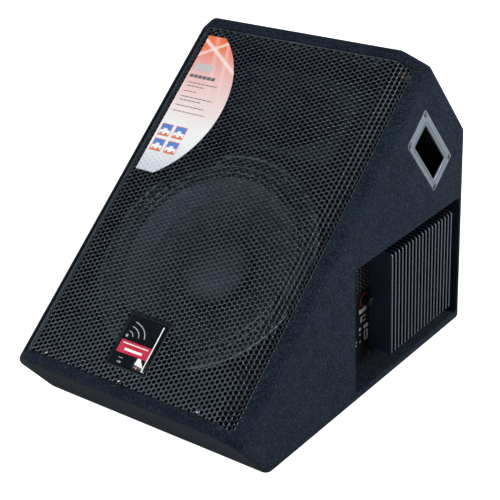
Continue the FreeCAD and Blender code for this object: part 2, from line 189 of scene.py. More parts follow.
def fill_brush(tree, given):
    """Long fine scratches along one direction."""
    lines = noise(tree, given["Stretched"], 900.0, 2.0, 0.6)
    broad = noise(tree, given["Stretched"], 120.0, 2.0, 0.5)
    return {"Lines": math_node(tree, "MULTIPLY_ADD", broad, 0.5, lines)}


def fill_crease(tree, given):
    """A soft line in space: one near the line and nothing past its ends."""
    away = vector_math(tree, "SUBTRACT", given["Place"], given["Start"])
    along = vector_math(tree, "DOT_PRODUCT", away, given["Run"])
    side = vector_math(tree, "SUBTRACT", away, vector_math(tree, "SCALE", given["Run"], along))
    gap = vector_math(tree, "LENGTH", side)
    fade = {"Value": gap, "From Min": given["Width"], "From Max": 0.0}
    near = wire(tree, "ShaderNodeMapRange", fade, clamp=True, interpolation_type="SMOOTHSTEP").outputs[0]
    start = map_range(tree, along, -1 * MM, 2 * MM)
    rest = math_node(tree, "SUBTRACT", given["Length"], along)
    end = map_range(tree, rest, -1 * MM, 8 * MM)
    return {"Line": math_node(tree, "MULTIPLY", near, math_node(tree, "MULTIPLY", start, end))}


def fill_dimples(tree, given):
    """Where the film sags over the holes behind it: three crossed waves that peak at each hole."""
    parts = wire(tree, "ShaderNodeSeparateXYZ", {0: given["Sheet"]}).outputs
    total = None
    for turn in (0.0, 60.0, -60.0):
        a = math_node(tree, "MULTIPLY", parts[0], math.cos(math.radians(turn)))
        line = math_node(tree, "MULTIPLY_ADD", parts[1], math.sin(math.radians(turn)), a)
        wave = math_node(tree, "COSINE", math_node(tree, "MULTIPLY", line, 2 * math.pi))
        total = wave if total is None else math_node(tree, "ADD", total, wave)
    return {"Holes": map_range(tree, total, 0.0, 1.6)}


VECTOR, NUMBER = "NodeSocketVector", "NodeSocketFloat"
PLACE = ("Place", VECTOR, None)
CREASE = shader_group("crease_line", [PLACE, ("Start", VECTOR, None), ("Run", VECTOR, None),
                                      ("Length", NUMBER, 0.03), ("Width", NUMBER, 0.003)],
                      ["Line"], fill_crease)
FELT = shader_group("felt_fibres", [PLACE, ("Fibre", NUMBER, 400.0)],
                    ["Fibres", "Specks", "Mottle", "Height"], fill_felt)
GRAIN = shader_group("moulded_grain", [PLACE, ("Grain", NUMBER, 900.0)], ["Height", "Gloss"], fill_grain)
WEAR = shader_group("edge_wear", [PLACE, ("Breaks", NUMBER, 160.0)], ["Edge"], fill_wear)
BRUSH = shader_group("brushed_lines", [("Stretched", VECTOR, None)], ["Lines"], fill_brush)
DIMPLES = shader_group("film_dimples", [("Sheet", VECTOR, None)], ["Holes"], fill_dimples)


def use_group(tree, group, **inputs):
    return wire(tree, "ShaderNodeGroup", inputs, node_tree=group).outputs


def new_material(name, **sockets):
    """A Principled material; sockets are named with underscores for spaces."""
    material = bpy.data.materials.new(name)
    material.use_nodes = True
    tree = material.node_tree
    shader = tree.nodes["Principled BSDF"]
    for key, value in sockets.items():
        shader.inputs[key.replace("_", " ")].default_value = value
    place = wire(tree, "ShaderNodeTexCoord").outputs["Object"]
    return material, tree, shader, place


def bump(tree, shader, height, distance, strength=1.0):
    names = {"Height": height, "Distance": distance, "Strength": strength}
    tree.links.new(wire(tree, "ShaderNodeBump", names).outputs[0], shader.inputs["Normal"])


def crease_lines():
    """Folds in the felt at the corners of the front opening, dented in and painted darker as shade: start, end,
    width.
    """
    mouth_low, mouth_high = lean_box("grille")
    foot_edge = lean_box("carpet_wrap")[0].y
    rim = lean_box("carpet_side_right")[1]
    h0, h1 = rim.z + 14 * MM, rim.z
    top, foot = mouth_high.y, mouth_low.y
    lines = []
    for side in (-1, 1):
        x0, x1 = side * mouth_high.x, side * rim.x
        lines += [((x0, top, h0), (x1, top + 10 * MM, h1), 2.2),
                  ((x0, top - 6 * MM, h0), (x1, top - 9 * MM, h1), 1.8),
                  ((x0, top - 14 * MM, h0), (x1, top - 12 * MM, h1), 1.4),
                  ((x0, foot, h0), (x1 - side * 6 * MM, foot_edge - 2 * MM, h1), 2.4),
                  ((x0 + side * 5 * MM, foot + 6 * MM, h0), (x1, foot - 8 * MM, h1 - 4 * MM), 1.6)]
    return [(lean(*a), lean(*b), width * MM) for a, b, width in lines]


def felt_material(name, dark, light, speck):
    material, tree, shader, place = new_material(name, Sheen_Weight=0.03, Sheen_Roughness=0.5,
                                                 Specular_IOR_Level=0.05)
    felt = use_group(tree, FELT, Place=place)
    body = mix_colour(tree, felt["Fibres"], dark, light)
    patch = math_node(tree, "MULTIPLY", felt["Mottle"], 0.35)
    body = mix_colour(tree, patch, body, light)
    body = mix_colour(tree, math_node(tree, "MULTIPLY", felt["Specks"], 0.6), body, speck)
    fold_dents_and_shade = None
    for start, end, width in crease_lines():
        run = end - start
        line = use_group(tree, CREASE, Place=place, Start=start, Run=run.normalized(),
                         Length=run.length, Width=width)["Line"]
        fold_dents_and_shade = line if fold_dents_and_shade is None else math_node(tree, "MAXIMUM", fold_dents_and_shade, line)
    # The folds are painted darker: painted shade in the creases.
    body = mix_colour(tree, math_node(tree, "MULTIPLY", fold_dents_and_shade, 0.55), body, dark)
    tree.links.new(body, shader.inputs["Base Color"])
    tree.links.new(map_range(tree, felt["Fibres"], 0.0, 1.0, 0.98, 0.84), shader.inputs["Roughness"])
    bump(tree, shader, math_node(tree, "MULTIPLY_ADD", fold_dents_and_shade, -3.0, felt["Height"]), 0.7 * MM, 0.8)
    return material


def grained_material(name, colour, worn, rough, grain, depth, wear=0.6, **sockets):
    """Paint or plastic: fine grain, uneven gloss and edges rubbed lighter."""
    material, tree, shader, place = new_material(name, **sockets)
    pebble = use_group(tree, GRAIN, Place=place, Grain=grain)
    edge = use_group(tree, WEAR, Place=place)["Edge"]
    tone = mix_colour(tree, map_range(tree, pebble["Gloss"], 0.3, 0.7, 0.0, 0.22), colour, worn)
    rubbed = mix_colour(tree, math_node(tree, "MULTIPLY", edge, wear), tone, worn)
    tree.links.new(rubbed, shader.inputs["Base Color"])
    tree.links.new(map_range(tree, pebble["Gloss"], 0.3, 0.7, rough - 0.06, rough + 0.08),
                   shader.inputs["Roughness"])
    bump(tree, shader, pebble["Height"], depth * MM)
    return material


def brushed_material(name, colour, rough, direction, metallic=1.0):
    """Metal with fine lines that run along a direction."""
    material, tree, shader, place = new_material(name, Metallic=metallic)
    slow = 0.04
    scale = [slow if abs(direction[i]) > 0.5 else 1.0 for i in range(3)]
    if direction == OUT:
        lean_turn = {"Vector": place, "Rotation": (math.atan2(UP.z, UP.y) * -1.0, 0.0, 0.0)}
        place = wire(tree, "ShaderNodeMapping", lean_turn).outputs[0]
        scale = (1.0, 1.0, slow)
    lines = use_group(tree, BRUSH, Stretched=stretched(tree, place, *scale))["Lines"]
    shade = map_range(tree, lines, 0.45, 1.05)
    dark = [c * 0.80 for c in colour]
    tree.links.new(mix_colour(tree, shade, dark, colour), shader.inputs["Base Color"])
    tree.links.new(map_range(tree, lines, 0.4, 1.1, rough + 0.10, rough - 0.05), shader.inputs["Roughness"])
    bump(tree, shader, lines, 0.02 * MM)
    return material


def plywood_material():
    material, tree, shader, place = new_material("plywood")
    rings = noise(tree, stretched(tree, place, 1.0, 6.0, 6.0), 9.0, 6.0, 0.7)
    pores = noise(tree, stretched(tree, place, 4.0, 60.0, 60.0), 12.0, 2.0, 0.6)
    tone = mix_colour(tree, map_range(tree, rings, 0.35, 0.65), (0.36, 0.25, 0.14), (0.56, 0.42, 0.27))
    tree.links.new(tone, shader.inputs["Base Color"])
    tree.links.new(map_range(tree, pores, 0.3, 0.7, 0.55, 0.8), shader.inputs["Roughness"])
    bump(tree, shader, pores, 0.15 * MM)
    return material


def paper_material(name, dark, light):
    """Pressed pulp: short fibres, slightly shiny ridges."""
    material, tree, shader, place = new_material(name, Specular_IOR_Level=0.45, Specular_Tint=COOL)
    pulp = noise(tree, place, 650.0, 4.0, 0.7)
    slow = noise(tree, place, 30.0, 3.0, 0.5)
    tree.links.new(mix_colour(tree, map_range(tree, pulp, 0.35, 0.7), dark, light), shader.inputs["Base Color"])
    tree.links.new(map_range(tree, slow, 0.3, 0.7, 0.42, 0.58), shader.inputs["Roughness"])
    bump(tree, shader, pulp, 0.25 * MM)
    return material


CARPET = felt_material("dark_felt", (0.0019, 0.0034, 0.0068), (0.0140, 0.0232, 0.0410),
                       (0.068, 0.085, 0.112))
COOL = (0.66, 0.82, 1.0, 1.0)

# Each line: colour, rubbed colour, roughness, grain per metre, bump in mm, wear, then other sockets.
POWDER = grained_material("satin_powder_coat", (0.0020, 0.0026, 0.0038), (0.012, 0.015, 0.020),
                          0.30, 1500.0, 0.015, 0.25, Specular_IOR_Level=1.0, Specular_Tint=COOL)
BLACK_WOOD = grained_material("black_stained_board", (0.0012, 0.0013, 0.0018), (0.003, 0.0032, 0.004),
                              0.8, 500.0, 0.12, Specular_IOR_Level=0.08)
BLACK_PLASTIC = grained_material("moulded_black_plastic", (0.0026, 0.0028, 0.0038), (0.012, 0.0125, 0.015),
                                 0.42, 1100.0, 0.04, Specular_IOR_Level=0.35, Specular_Tint=COOL)
# The handle cup's black plastic, made darker and duller than the other black plastic: partly its own matte black,
# partly painted shade for the deep cup.
CUP_PLASTIC_SHADED = grained_material("cup_black_plastic_with_painted_shade", (0.0012, 0.0012, 0.0016), (0.003, 0.003, 0.004),
                               0.75, 900.0, 0.05, Specular_IOR_Level=0.08)
GLOSS_BLACK = grained_material("gloss_black_plastic", (0.003, 0.004, 0.006), (0.006, 0.007, 0.010),
                               0.07, 300.0, 0.001, 0.1, Coat_Weight=0.3)
CHASSIS = grained_material("black_panel_paint", (0.0014, 0.0017, 0.0024), (0.006, 0.007, 0.009),
                           0.50, 1700.0, 0.03, Specular_IOR_Level=0.15, Specular_Tint=COOL)
BLACK_STEEL = grained_material("blackened_steel", (0.012, 0.012, 0.015), (0.10, 0.105, 0.115),
                               0.30, 900.0, 0.02, Specular_IOR_Level=0.8)
BASKET = grained_material("black_stove_enamel", (0.0018, 0.0024, 0.0034), (0.005, 0.006, 0.008),
                          0.34, 800.0, 0.03, Specular_IOR_Level=0.3, Specular_Tint=COOL)
RUBBER = grained_material("black_rubber", (0.0032, 0.0046, 0.0068), (0.008, 0.011, 0.015),
                          0.30, 420.0, 0.04, Specular_IOR_Level=0.6, Specular_Tint=COOL)
FOOT_RUBBER = grained_material("foot_rubber", (0.010, 0.010, 0.011), (0.03, 0.03, 0.032), 0.70, 420.0, 0.08)
FERRITE = grained_material("ferrite", (0.030, 0.030, 0.034), (0.08, 0.08, 0.085), 0.62, 600.0, 0.08)
SINK = grained_material("dark_anodised_aluminium", (0.0150, 0.0205, 0.038), (0.024, 0.030, 0.05),
                        0.42, 1300.0, 0.02, 0.4)
DARK_SCREW = grained_material("polished_black_screw", (0.006, 0.008, 0.011), (0.04, 0.05, 0.062),
                              0.22, 900.0, 0.002, 0.4, Specular_IOR_Level=0.8)
BOARD = grained_material("green_circuit_board", (0.02, 0.12, 0.05), (0.06, 0.25, 0.12), 0.4, 800.0, 0.02)
RED = grained_material("red_rocker_plastic", (0.30, 0.012, 0.020), (0.45, 0.06, 0.07), 0.35, 900.0, 0.02, 0.3)
# The level ring's red, made darker than the rocker's red: partly its own dark red, partly painted shade of the
# recess round it.
RED_RING_SHADED = grained_material("red_ring_with_painted_shade", (0.085, 0.005, 0.010), (0.16, 0.02, 0.03), 0.40, 900.0, 0.02, 0.2)
BADGE_RED = grained_material("badge_red_enamel", (0.47, 0.009, 0.042), (0.54, 0.04, 0.07),
                             0.16, 400.0, 0.002, 0.1)
LENS_DARK = grained_material("smoked_lens", (0.30, 0.31, 0.33), (0.4, 0.4, 0.42), 0.12, 300.0, 0.001,
                             Coat_Weight=0.5)
LENS_RED = grained_material("red_lens", (0.62, 0.16, 0.12), (0.7, 0.3, 0.25), 0.12, 300.0, 0.001,
                            Coat_Weight=0.5)
INK = grained_material("white_print", (0.80, 0.81, 0.82), (0.70, 0.71, 0.72), 0.50, 1200.0, 0.01, 0.1)
DULL_INK = grained_material("panel_print", (0.30, 0.31, 0.33), (0.24, 0.25, 0.27), 0.50, 1200.0, 0.01, 0.1)
SILVER_INK = grained_material("silver_print", (0.26, 0.28, 0.31), (0.40, 0.42, 0.46), 0.35, 1200.0, 0.01, 0.1)
GREY_INK = grained_material("grey_print", (0.10, 0.09, 0.10), (0.16, 0.15, 0.16), 0.5, 1200.0, 0.01, 0.1)
PALE_INK = grained_material("pale_print", (0.50, 0.47, 0.46), (0.56, 0.50, 0.50), 0.4, 900.0, 0.005, 0.0)
BLUE_INK = grained_material("blue_print", (0.07, 0.20, 0.58), (0.12, 0.27, 0.62), 0.3, 900.0, 0.005, 0.0)
ORANGE_INK = grained_material("orange_print", (0.62, 0.14, 0.06), (0.66, 0.22, 0.11), 0.3, 900.0, 0.005, 0.0)

COPPER = brushed_material("wound_copper", (0.62, 0.30, 0.16), 0.34, ACROSS)
ZINC = brushed_material("zinc_plated_steel", (0.50, 0.51, 0.53), 0.30, ACROSS)
BRASS = brushed_material("brass_contact", (0.78, 0.60, 0.26), 0.25, ACROSS)
SILVER = brushed_material("satin_silver_plate", (0.135, 0.165, 0.205), 0.30, OUT, metallic=0.3)
# The fin tips' finish: partly bare machined metal, partly a painted highlight where the tips catch the light.
FIN_TIP_BARE_AND_LIT = brushed_material("bare_and_lit_fin_edge", (0.060, 0.077, 0.104), 0.32, Vector((0, 0, 1)), metallic=0.2)
PLYWOOD = plywood_material()
PULP = paper_material("ribbed_pulp_cone", (0.0026, 0.0042, 0.0068), (0.0075, 0.0112, 0.0165))
SPIDER = paper_material("dipped_spider_cloth", (0.40, 0.26, 0.10), (0.62, 0.44, 0.20))


# ---- meshes ----
def add_object(name, mesh):
    thing = bpy.data.objects.new(name, mesh)
    bpy.context.scene.collection.objects.link(thing)
    return thing


def dress(mesh, *materials):
    """Give a mesh these finishes only; every face then takes the first one."""
    mesh.materials.clear()
    for material in materials:
        mesh.materials.append(material)


def link(name, mesh, material, body="cabinet", smooth=35.0):
    """Put a piece in the scene on its body; no material means that the mesh has its own."""
    piece = add_object(name, mesh)
    if material is not None:
        dress(mesh, material)
    for face in mesh.polygons:
        face.use_smooth = True
    mesh.set_sharp_from_angle(angle=math.radians(smooth))
    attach(piece, body)
    return piece


def mesh_from(bm, name):
    mesh = bpy.data.meshes.new(name)
    bm.to_mesh(mesh)
    bm.free()
    return mesh


def settle(piece):
    """Make a piece's modifiers part of its mesh."""
    graph = bpy.context.evaluated_depsgraph_get()
    mesh = bpy.data.meshes.new_from_object(piece.evaluated_get(graph))
    piece.modifiers.clear()
    old = piece.data
    piece.data = mesh
    mesh.name = piece.name
    bpy.data.meshes.remove(old)
    return piece


def weigh_normals(piece):
    piece.modifiers.new("weighted", "WEIGHTED_NORMAL").keep_sharp = True
    settle(piece)


def thicken(piece, thickness, offset):
    """Give a skin its thickness: -1 grows it behind the skin, 1 in front."""
    thick = piece.modifiers.new("thick", "SOLIDIFY")
    thick.thickness = thickness
    thick.offset = offset
    settle(piece)


def trim(piece, cutter, operation="DIFFERENCE"):
    """Cut a piece with a mesh, or keep only what lies inside it."""
    tool = add_object("cutter", cutter)
    cut = piece.modifiers.new("cut", "BOOLEAN")
    cut.operation = operation
    cut.solver = "EXACT"
    cut.object = tool
    settle(piece)
    bpy.data.objects.remove(tool)


def loft(loops, caps=(True, True)):
    """A skin over loops that all have the same number of points."""
    bm = bmesh.new()
    rows = [[bm.verts.new(p) for p in loop] for loop in loops]
    for low, high in zip(rows, rows[1:]):
        for i, vert in enumerate(low):
            j = (i + 1) % len(low)
            bm.faces.new((vert, low[j], high[j], high[i]))
    if caps[0]:
        bm.faces.new(list(reversed(rows[0])))
    if caps[1]:
        bm.faces.new(rows[-1])
    bmesh.ops.recalc_face_normals(bm, faces=bm.faces)
    return bm


def round_corners(width, height, radius, steps=6):
    """Points of a rounded rectangle about the origin."""
    points = []
    for k, (sx, sy) in enumerate(((1, 1), (-1, 1), (-1, -1), (1, -1))):
        cx, cy = sx * (width / 2 - radius), sy * (height / 2 - radius)
        for i in range(steps + 1):
            angle = math.pi / 2 * (k + i / steps)
            points.append((cx + radius * math.cos(angle), cy + radius * math.sin(angle)))
    return points


def lathe(profile, centre, axis, side, segments=96):
    """Turn (radius, height) points about an axis; a closed profile makes a closed solid."""
    third = axis.cross(side)
    loops = []
    for i in range(segments):
        angle = 2 * math.pi * i / segments
        spoke = side * math.cos(angle) + third * math.sin(angle)
        loops.append([centre + spoke * r + axis * h for r, h in profile])
    bm = bmesh.new()
    rows = [[bm.verts.new(p) for p in loop] for loop in loops]
    for i, row in enumerate(rows):
        after = rows[(i + 1) % segments]
        for j, vert in enumerate(row):
            k = (j + 1) % len(row)
            bm.faces.new((vert, row[k], after[k], after[j]))
    bmesh.ops.remove_doubles(bm, verts=bm.verts, dist=1e-7)
    bmesh.ops.recalc_face_normals(bm, faces=bm.faces)
    return bm


def box_mesh(low, high, origin=None, axes=None):
    """A box between two corners, along the given axes."""
    origin = origin or Vector((0, 0, 0))
    axes = axes or (Vector((1, 0, 0)), Vector((0, 1, 0)), Vector((0, 0, 1)))
    loops = []
    for z in (low[2], high[2]):
        flat = ((low[0], low[1]), (high[0], low[1]), (high[0], high[1]), (low[0], high[1]))
        loops.append([origin + axes[0] * x + axes[1] * y + axes[2] * z for x, y in flat])
    return loft(loops)


LEAN_AXES = (ACROSS, UP, OUT)


def joined(parts):
    """One mesh from several, with their materials kept."""
    bm = bmesh.new()
    materials = []
    for part, material in parts:
        if material not in materials:
            materials.append(material)
        start = len(bm.faces)
        part_mesh = mesh_from(part, "part")
        bm.from_mesh(part_mesh)
        bpy.data.meshes.remove(part_mesh)
        bm.faces.ensure_lookup_table()
        for face in bm.faces[start:]:
            face.material_index = materials.index(material)
    mesh = mesh_from(bm, "joined")
    for material in materials:
        mesh.materials.append(material)
    return mesh


def node_mesh(node, merge_flats=True):
    """A working copy of a CAD piece with its doubled points joined."""
    bm = bmesh.new()
    bm.from_mesh(NODES[node].data)
    bmesh.ops.remove_doubles(bm, verts=bm.verts, dist=1e-6)
    if merge_flats:
        bmesh.ops.dissolve_limit(bm, angle_limit=math.radians(0.6), verts=bm.verts, edges=bm.edges)
    return bm


def islands(node):
    """The separate solids in a node, each as its list of points."""
    bm = node_mesh(node, merge_flats=False)
    found = []
    left = set(bm.verts)
    while left:
        stack = [left.pop()]
        points = []
        while stack:
            vert = stack.pop()
            points.append(vert.co.copy())
            near = [e.other_vert(vert) for e in vert.link_edges]
            fresh = [v for v in near if v in left]
            left.difference_update(fresh)
            stack += fresh
        found.append(points)
    bm.free()
    return sorted(found, key=lambda pts: [round(sum(p[i] for p in pts) / len(pts), 5) for i in range(3)])


def refined(node, material, bevel, segments=2, smooth=35.0):
    """The CAD piece with its edges eased by so many mm, standing for the plain one."""
    bodies = frame["record"]["behaviour"]["bodies"].items()
    body = next(name for name, members in bodies if node in members)
    piece = link("look_" + node, mesh_from(node_mesh(node), node), material, body, smooth=smooth)
    ease = piece.modifiers.new("ease", "BEVEL")
    ease.width = bevel * MM
    ease.segments = segments
    ease.limit_method = "ANGLE"
    ease.angle_limit = math.radians(40)
    weigh_normals(piece)
    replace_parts(piece, node)
    return piece


def paint(node, material):
    dress(NODES[node].data, material)


# ---- carpet ----
wrap_low, wrap_high = lean_box("carpet_wrap")
side_high = lean_box("carpet_side_right")[1]
half = side_high.x
fold = crest_half("carpet_wrap")
crest = wrap_high.z
shoulder = side_high.z
felt_t = 2.0 * MM
edge_round = 10.0 * MM
PAST = 0.05  # how far a cutter reaches past the surface that it cuts
wing_angle = math.atan2(crest - shoulder, half - fold)
mouth_round = 2.6 * MM


def where_lean_meets(s=None, h=None, y=None, z=None):
    """The point in the side's plane on two of: up the baffle, out of it, depth, height."""
    rows = []
    for vector, value in ((UP, s), (OUT, h), (Vector((0, 1, 0)), y), (Vector((0, 0, 1)), z)):
        if value is not None:
            rows.append((vector.y, vector.z, value))
    (a, b, p), (c, d, q) = rows
    det = a * d - b * c
    return (p * d - b * q) / det, (a * q - p * c) / det


def round_edges(bm, edges, width, segments):
    bmesh.ops.bevel(bm, geom=edges, offset=width, segments=segments, profile=0.5, affect="EDGES",
                    clamp_overlap=True)


def cabinet_hull(inset, rounding, lift_top, name):
    """The cabinet's outline, moved in by an amount and with all its edges rounded."""
    low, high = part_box("carpet_wrap")
    nose, top = wrap_low.y + inset, wrap_high.y - inset + lift_top
    ground, back = low.z + inset, high.y - inset
    fold_x = fold - inset * math.tan(wing_angle / 2)
    front = crest - inset
    low_front = shoulder - inset * math.tan((math.pi / 2 - wing_angle) / 2)
    side = [where_lean_meets(s=nose, z=ground), (back, ground), where_lean_meets(s=top, y=back),
            where_lean_meets(s=top, h=low_front), where_lean_meets(s=nose, h=low_front)]
    middle = [where_lean_meets(s=top, h=front), where_lean_meets(s=nose, h=front)]
    bm = bmesh.new()
    for sign in (-1, 1):
        for y, z in side:
            bm.verts.new((sign * (half - inset), y, z))
        for y, z in middle:
            bm.verts.new((sign * fold_x, y, z))
    bmesh.ops.convex_hull(bm, input=bm.verts)
    bmesh.ops.dissolve_limit(bm, angle_limit=math.radians(0.5), verts=bm.verts, edges=bm.edges)
    sharp = [e for e in bm.edges if e.calc_face_angle(0.0) > math.radians(10)]
    round_edges(bm, sharp, rounding, 5)
    return mesh_from(bm, name)


def handle_loop(side, x, width, height, radius, drop=0.0):
    """A rounded rectangle in the side's plane, centred on the handle's plate or dropped a little."""
    low, high = lean_box("handle_plate_right")
    centre_s, centre_h = (low.y + high.y) / 2 - drop * UP.z, (low.z + high.z) / 2 - drop * OUT.z
    return [lean(side * x, centre_s + a, centre_h + b) for a, b in round_corners(width, height, radius)]


grille_low, grille_high = lean_box("grille")
plate_low, plate_high = lean_box("handle_plate_right")
bay_low, bay_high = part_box("carpet_bay_lining")


def carpet_cutters(floor_h):
    """What is taken out of the felt hull: the grille's mouth, the amplifier bay and the handle seats."""
    gap = 0.5 * MM
    mouth = box_mesh((grille_low.x - gap, grille_low.y - gap, floor_h),
                     (grille_high.x + gap, grille_high.y + gap, crest + PAST), axes=LEAN_AXES)
    wide, tall = bay_high.y - bay_low.y - 2 * felt_t, bay_high.z - bay_low.z - 2 * felt_t
    mid_y, mid_z = (bay_low.y + bay_high.y) / 2, (bay_low.z + bay_high.z) / 2
    bay = loft([[Vector((x, mid_y + a, mid_z + b)) for a, b in round_corners(wide, tall, 6 * MM)]
                for x in (bay_low.x, half + PAST)])
    size = (plate_high.y - plate_low.y, plate_high.z - plate_low.z)
    seats = [loft([handle_loop(side, x, *size, 4 * MM) for x in (half - felt_t, half + PAST)])
             for side in (-1, 1)]
    return [mouth, bay] + seats


def open_bottoms(bm, floor_h):
    """Take out the flat ends that the cutters left, so that only the felt's skin stays."""
    near = 0.02 * MM
    ends = (lambda p: p.dot(OUT) - floor_h, lambda p: p.x - bay_low.x, lambda p: abs(p.x) - (half - felt_t))
    flat = [face for face in bm.faces
            if any(all(abs(gap(v.co)) < near for v in face.verts) for gap in ends)]
    bmesh.ops.delete(bm, geom=flat, context="FACES")


def carpet():
    """One felt skin over the whole hull, turned in at every opening."""
    shell = link("carpet", cabinet_hull(0.0, edge_round, 4 * MM, "carpet_shell"), CARPET)
    floor_h = shoulder - 4 * MM
    for cutter in carpet_cutters(floor_h):
        trim(shell, mesh_from(cutter, "cutter"))
    bm = bmesh.new()
    bm.from_mesh(shell.data)
    open_bottoms(bm, floor_h)
    rims = [e for e in bm.edges if len(e.link_faces) == 2 and e.calc_face_angle(0.0) > math.radians(55)]
    round_edges(bm, rims, mouth_round, 3)
    old = shell.data
    shell.data = mesh_from(bm, "carpet")
    dress(shell.data, CARPET)
    bpy.data.meshes.remove(old)
    for face in shell.data.polygons:
        face.use_smooth = True
    thicken(shell, felt_t, -1)
    shell.data.set_sharp_from_angle(angle=math.radians(50))
    weigh_normals(shell)
    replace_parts(shell, "carpet_wrap", "carpet_side_right", "carpet_side_left", "carpet_bay_lining")


carpet()


def boards():
    """The outer boards, with the corners that the felt goes round eased to fit inside it."""
    inner = cabinet_hull(2.2 * MM, edge_round - 2.2 * MM, 0.0, "board_outline")
    for node in ("side_panel_right", "side_panel_left", "floor_panel", "back_panel", "top_panel", "nose_panel"):
        piece = link("look_" + node, NODES[node].data.copy(), PLYWOOD)
        trim(piece, inner, "INTERSECT")
        dress(piece.data, PLYWOOD)
        piece.data.set_sharp_from_angle(angle=math.radians(30))
        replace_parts(piece, node)


boards()


# ---- grille ----
hole_pitch = 8.19 * MM
hole_flat = 6.3 * MM
sheet_t = 1.2 * MM
fold_round = 3.0 * MM
rolled = 0.3 * MM
rim_web = 1.3 * MM
least_hole = 1.6 * MM
grille_crest = grille_high.z
grille_fold = crest_half("grille")
badge_low, badge_high = lean_box("badge_tray")


def bent(a, s, depth):
    """Fold the flat sheet: a is measured across it, depth goes into it."""
    side = 1.0 if a >= 0 else -1.0
    reach = abs(a)
    flat = grille_fold - fold_round * math.tan(wing_angle / 2)
    arc = fold_round * wing_angle
    radius = fold_round - depth
    if reach <= flat:
        x, h = reach, grille_crest - depth
    elif reach <= flat + arc:
        turn = (reach - flat) / fold_round
        x = flat + radius * math.sin(turn)
        h = grille_crest - fold_round + radius * math.cos(turn)
    else:
        rest = reach - flat - arc
        x = flat + radius * math.sin(wing_angle) + rest * math.cos(wing_angle)
        h = grille_crest - fold_round + radius * math.cos(wing_angle) - rest * math.sin(wing_angle)
    return lean(side * x, s, h)


def sheet_half():
    flat = grille_fold - fold_round * math.tan(wing_angle / 2)
    start = flat + fold_round * math.sin(wing_angle)
    return flat + fold_round * wing_angle + (grille_high.x - start) / math.cos(wing_angle)


def kept_inside(point, limits, margin, hole_rim):
    """Hold a point inside the sheet and outside the badge's cut-out."""
    a = min(max(point[0], limits[0] + margin), limits[1] - margin)
    s = min(max(point[1], limits[2] + margin), limits[3] - margin)
    left, right, low, high = hole_rim
    ins = [a - (left - margin), (right + margin) - a, s - (low - margin), (high + margin) - s]
    if min(ins) > 0:
        nearest = ins.index(min(ins))
        if nearest < 2:
            a = (left - margin, right + margin)[nearest]
        else:
            s = (low - margin, high + margin)[nearest - 2]
    return a, s


def hole_centres(limits, badge_rim, slack):
    """Centres of the staggered holes that are on the sheet and not under the badge."""
    column = hole_pitch * math.sqrt(3) / 2
    cell_r = hole_pitch / math.sqrt(3)
    columns = int(limits[1] / column) + 2
    rows = int((limits[3] - limits[2]) / hole_pitch) + 3
    middle = (limits[2] + limits[3]) / 2
    for i in range(-columns, columns + 1):
        for j in range(-rows, rows + 1):
            a = i * column
            s = middle + (j + (0.5 if i % 2 else 0.0)) * hole_pitch
            on_width = limits[0] - cell_r < a < limits[1] + cell_r
            on_length = limits[2] - cell_r < s < limits[3] + cell_r
            under_width = badge_rim[0] + slack < a < badge_rim[1] - slack
            under_length = badge_rim[2] + slack < s < badge_rim[3] - slack
            if on_width and on_length and not (under_width and under_length):
                yield a, s


def hexagon(a, s, radius):
    turns = [math.radians(60 * k) for k in range(6)]
    return [(a + radius * math.cos(t), s + radius * math.sin(t)) for t in turns]


def extent(points, i):
    return max(p[i] for p in points) - min(p[i] for p in points)


def perforated_sheet():
    """The flat sheet: its points, its faces, and the points round the holes."""
    reach = sheet_half()
    limits = (-reach, reach, grille_low.y, grille_high.y)
    slack = 0.5 * MM
    badge_rim = (badge_low.x - slack, badge_high.x + slack, badge_low.y - slack, badge_high.y + slack)
    index = {}
    places, faces = [], []
    rims = set()

    def vertex(point):
        key = (round(point[0] * 2e5), round(point[1] * 2e5))
        if key not in index:
            index[key] = len(places)
            places.append(point)
        return index[key]

    def add_face(corners):
        ring = list(dict.fromkeys(corners))
        if len(ring) > 2:
            faces.append(ring)

    for a, s in hole_centres(limits, badge_rim, slack):
        cell = hexagon(a, s, hole_pitch / math.sqrt(3))
        outer = [vertex(kept_inside(p, limits, 0.0, badge_rim)) for p in cell]
        hole = hexagon(a, s, hole_flat / math.sqrt(3))
        held = [kept_inside(p, limits, rim_web, badge_rim) for p in hole]
        if min(extent(held, 0), extent(held, 1)) < least_hole:
            add_face(outer)
            continue
        inner = [vertex(p) for p in held]
        rims.update(inner)
        for k in range(6):
            m = (k + 1) % 6
            add_face((outer[k], outer[m], inner[m], inner[k]))
    return places, faces, rims


def grille():
    """The folded sheet, with its front hole edges rolled in a little and its cut edges closed."""
    places, faces, rims = perforated_sheet()
    bm = bmesh.new()
    front = [bm.verts.new(bent(a, s, rolled if i in rims else 0.0)) for i, (a, s) in enumerate(places)]
    back = [bm.verts.new(bent(a, s, sheet_t)) for a, s in places]
    uses = {}
    made = set()
    for face in faces:
        key = tuple(sorted(face))
        if key in made:
            continue
        made.add(key)
        bm.faces.new([front[i] for i in face])
        bm.faces.new([back[i] for i in reversed(face)])
        for i, j in zip(face, face[1:] + face[:1]):
            edge = (min(i, j), max(i, j))
            uses[edge] = None if edge in uses else (i, j)
    for i, j in filter(None, uses.values()):
        bm.faces.new((front[j], front[i], back[i], back[j]))
    loose = [v for v in bm.verts if not v.link_faces]
    bmesh.ops.delete(bm, geom=loose, context="VERTS")
    piece = link("grille_sheet", mesh_from(bm, "grille_sheet"), POWDER, smooth=100)
    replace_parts(piece, "grille")


grille()


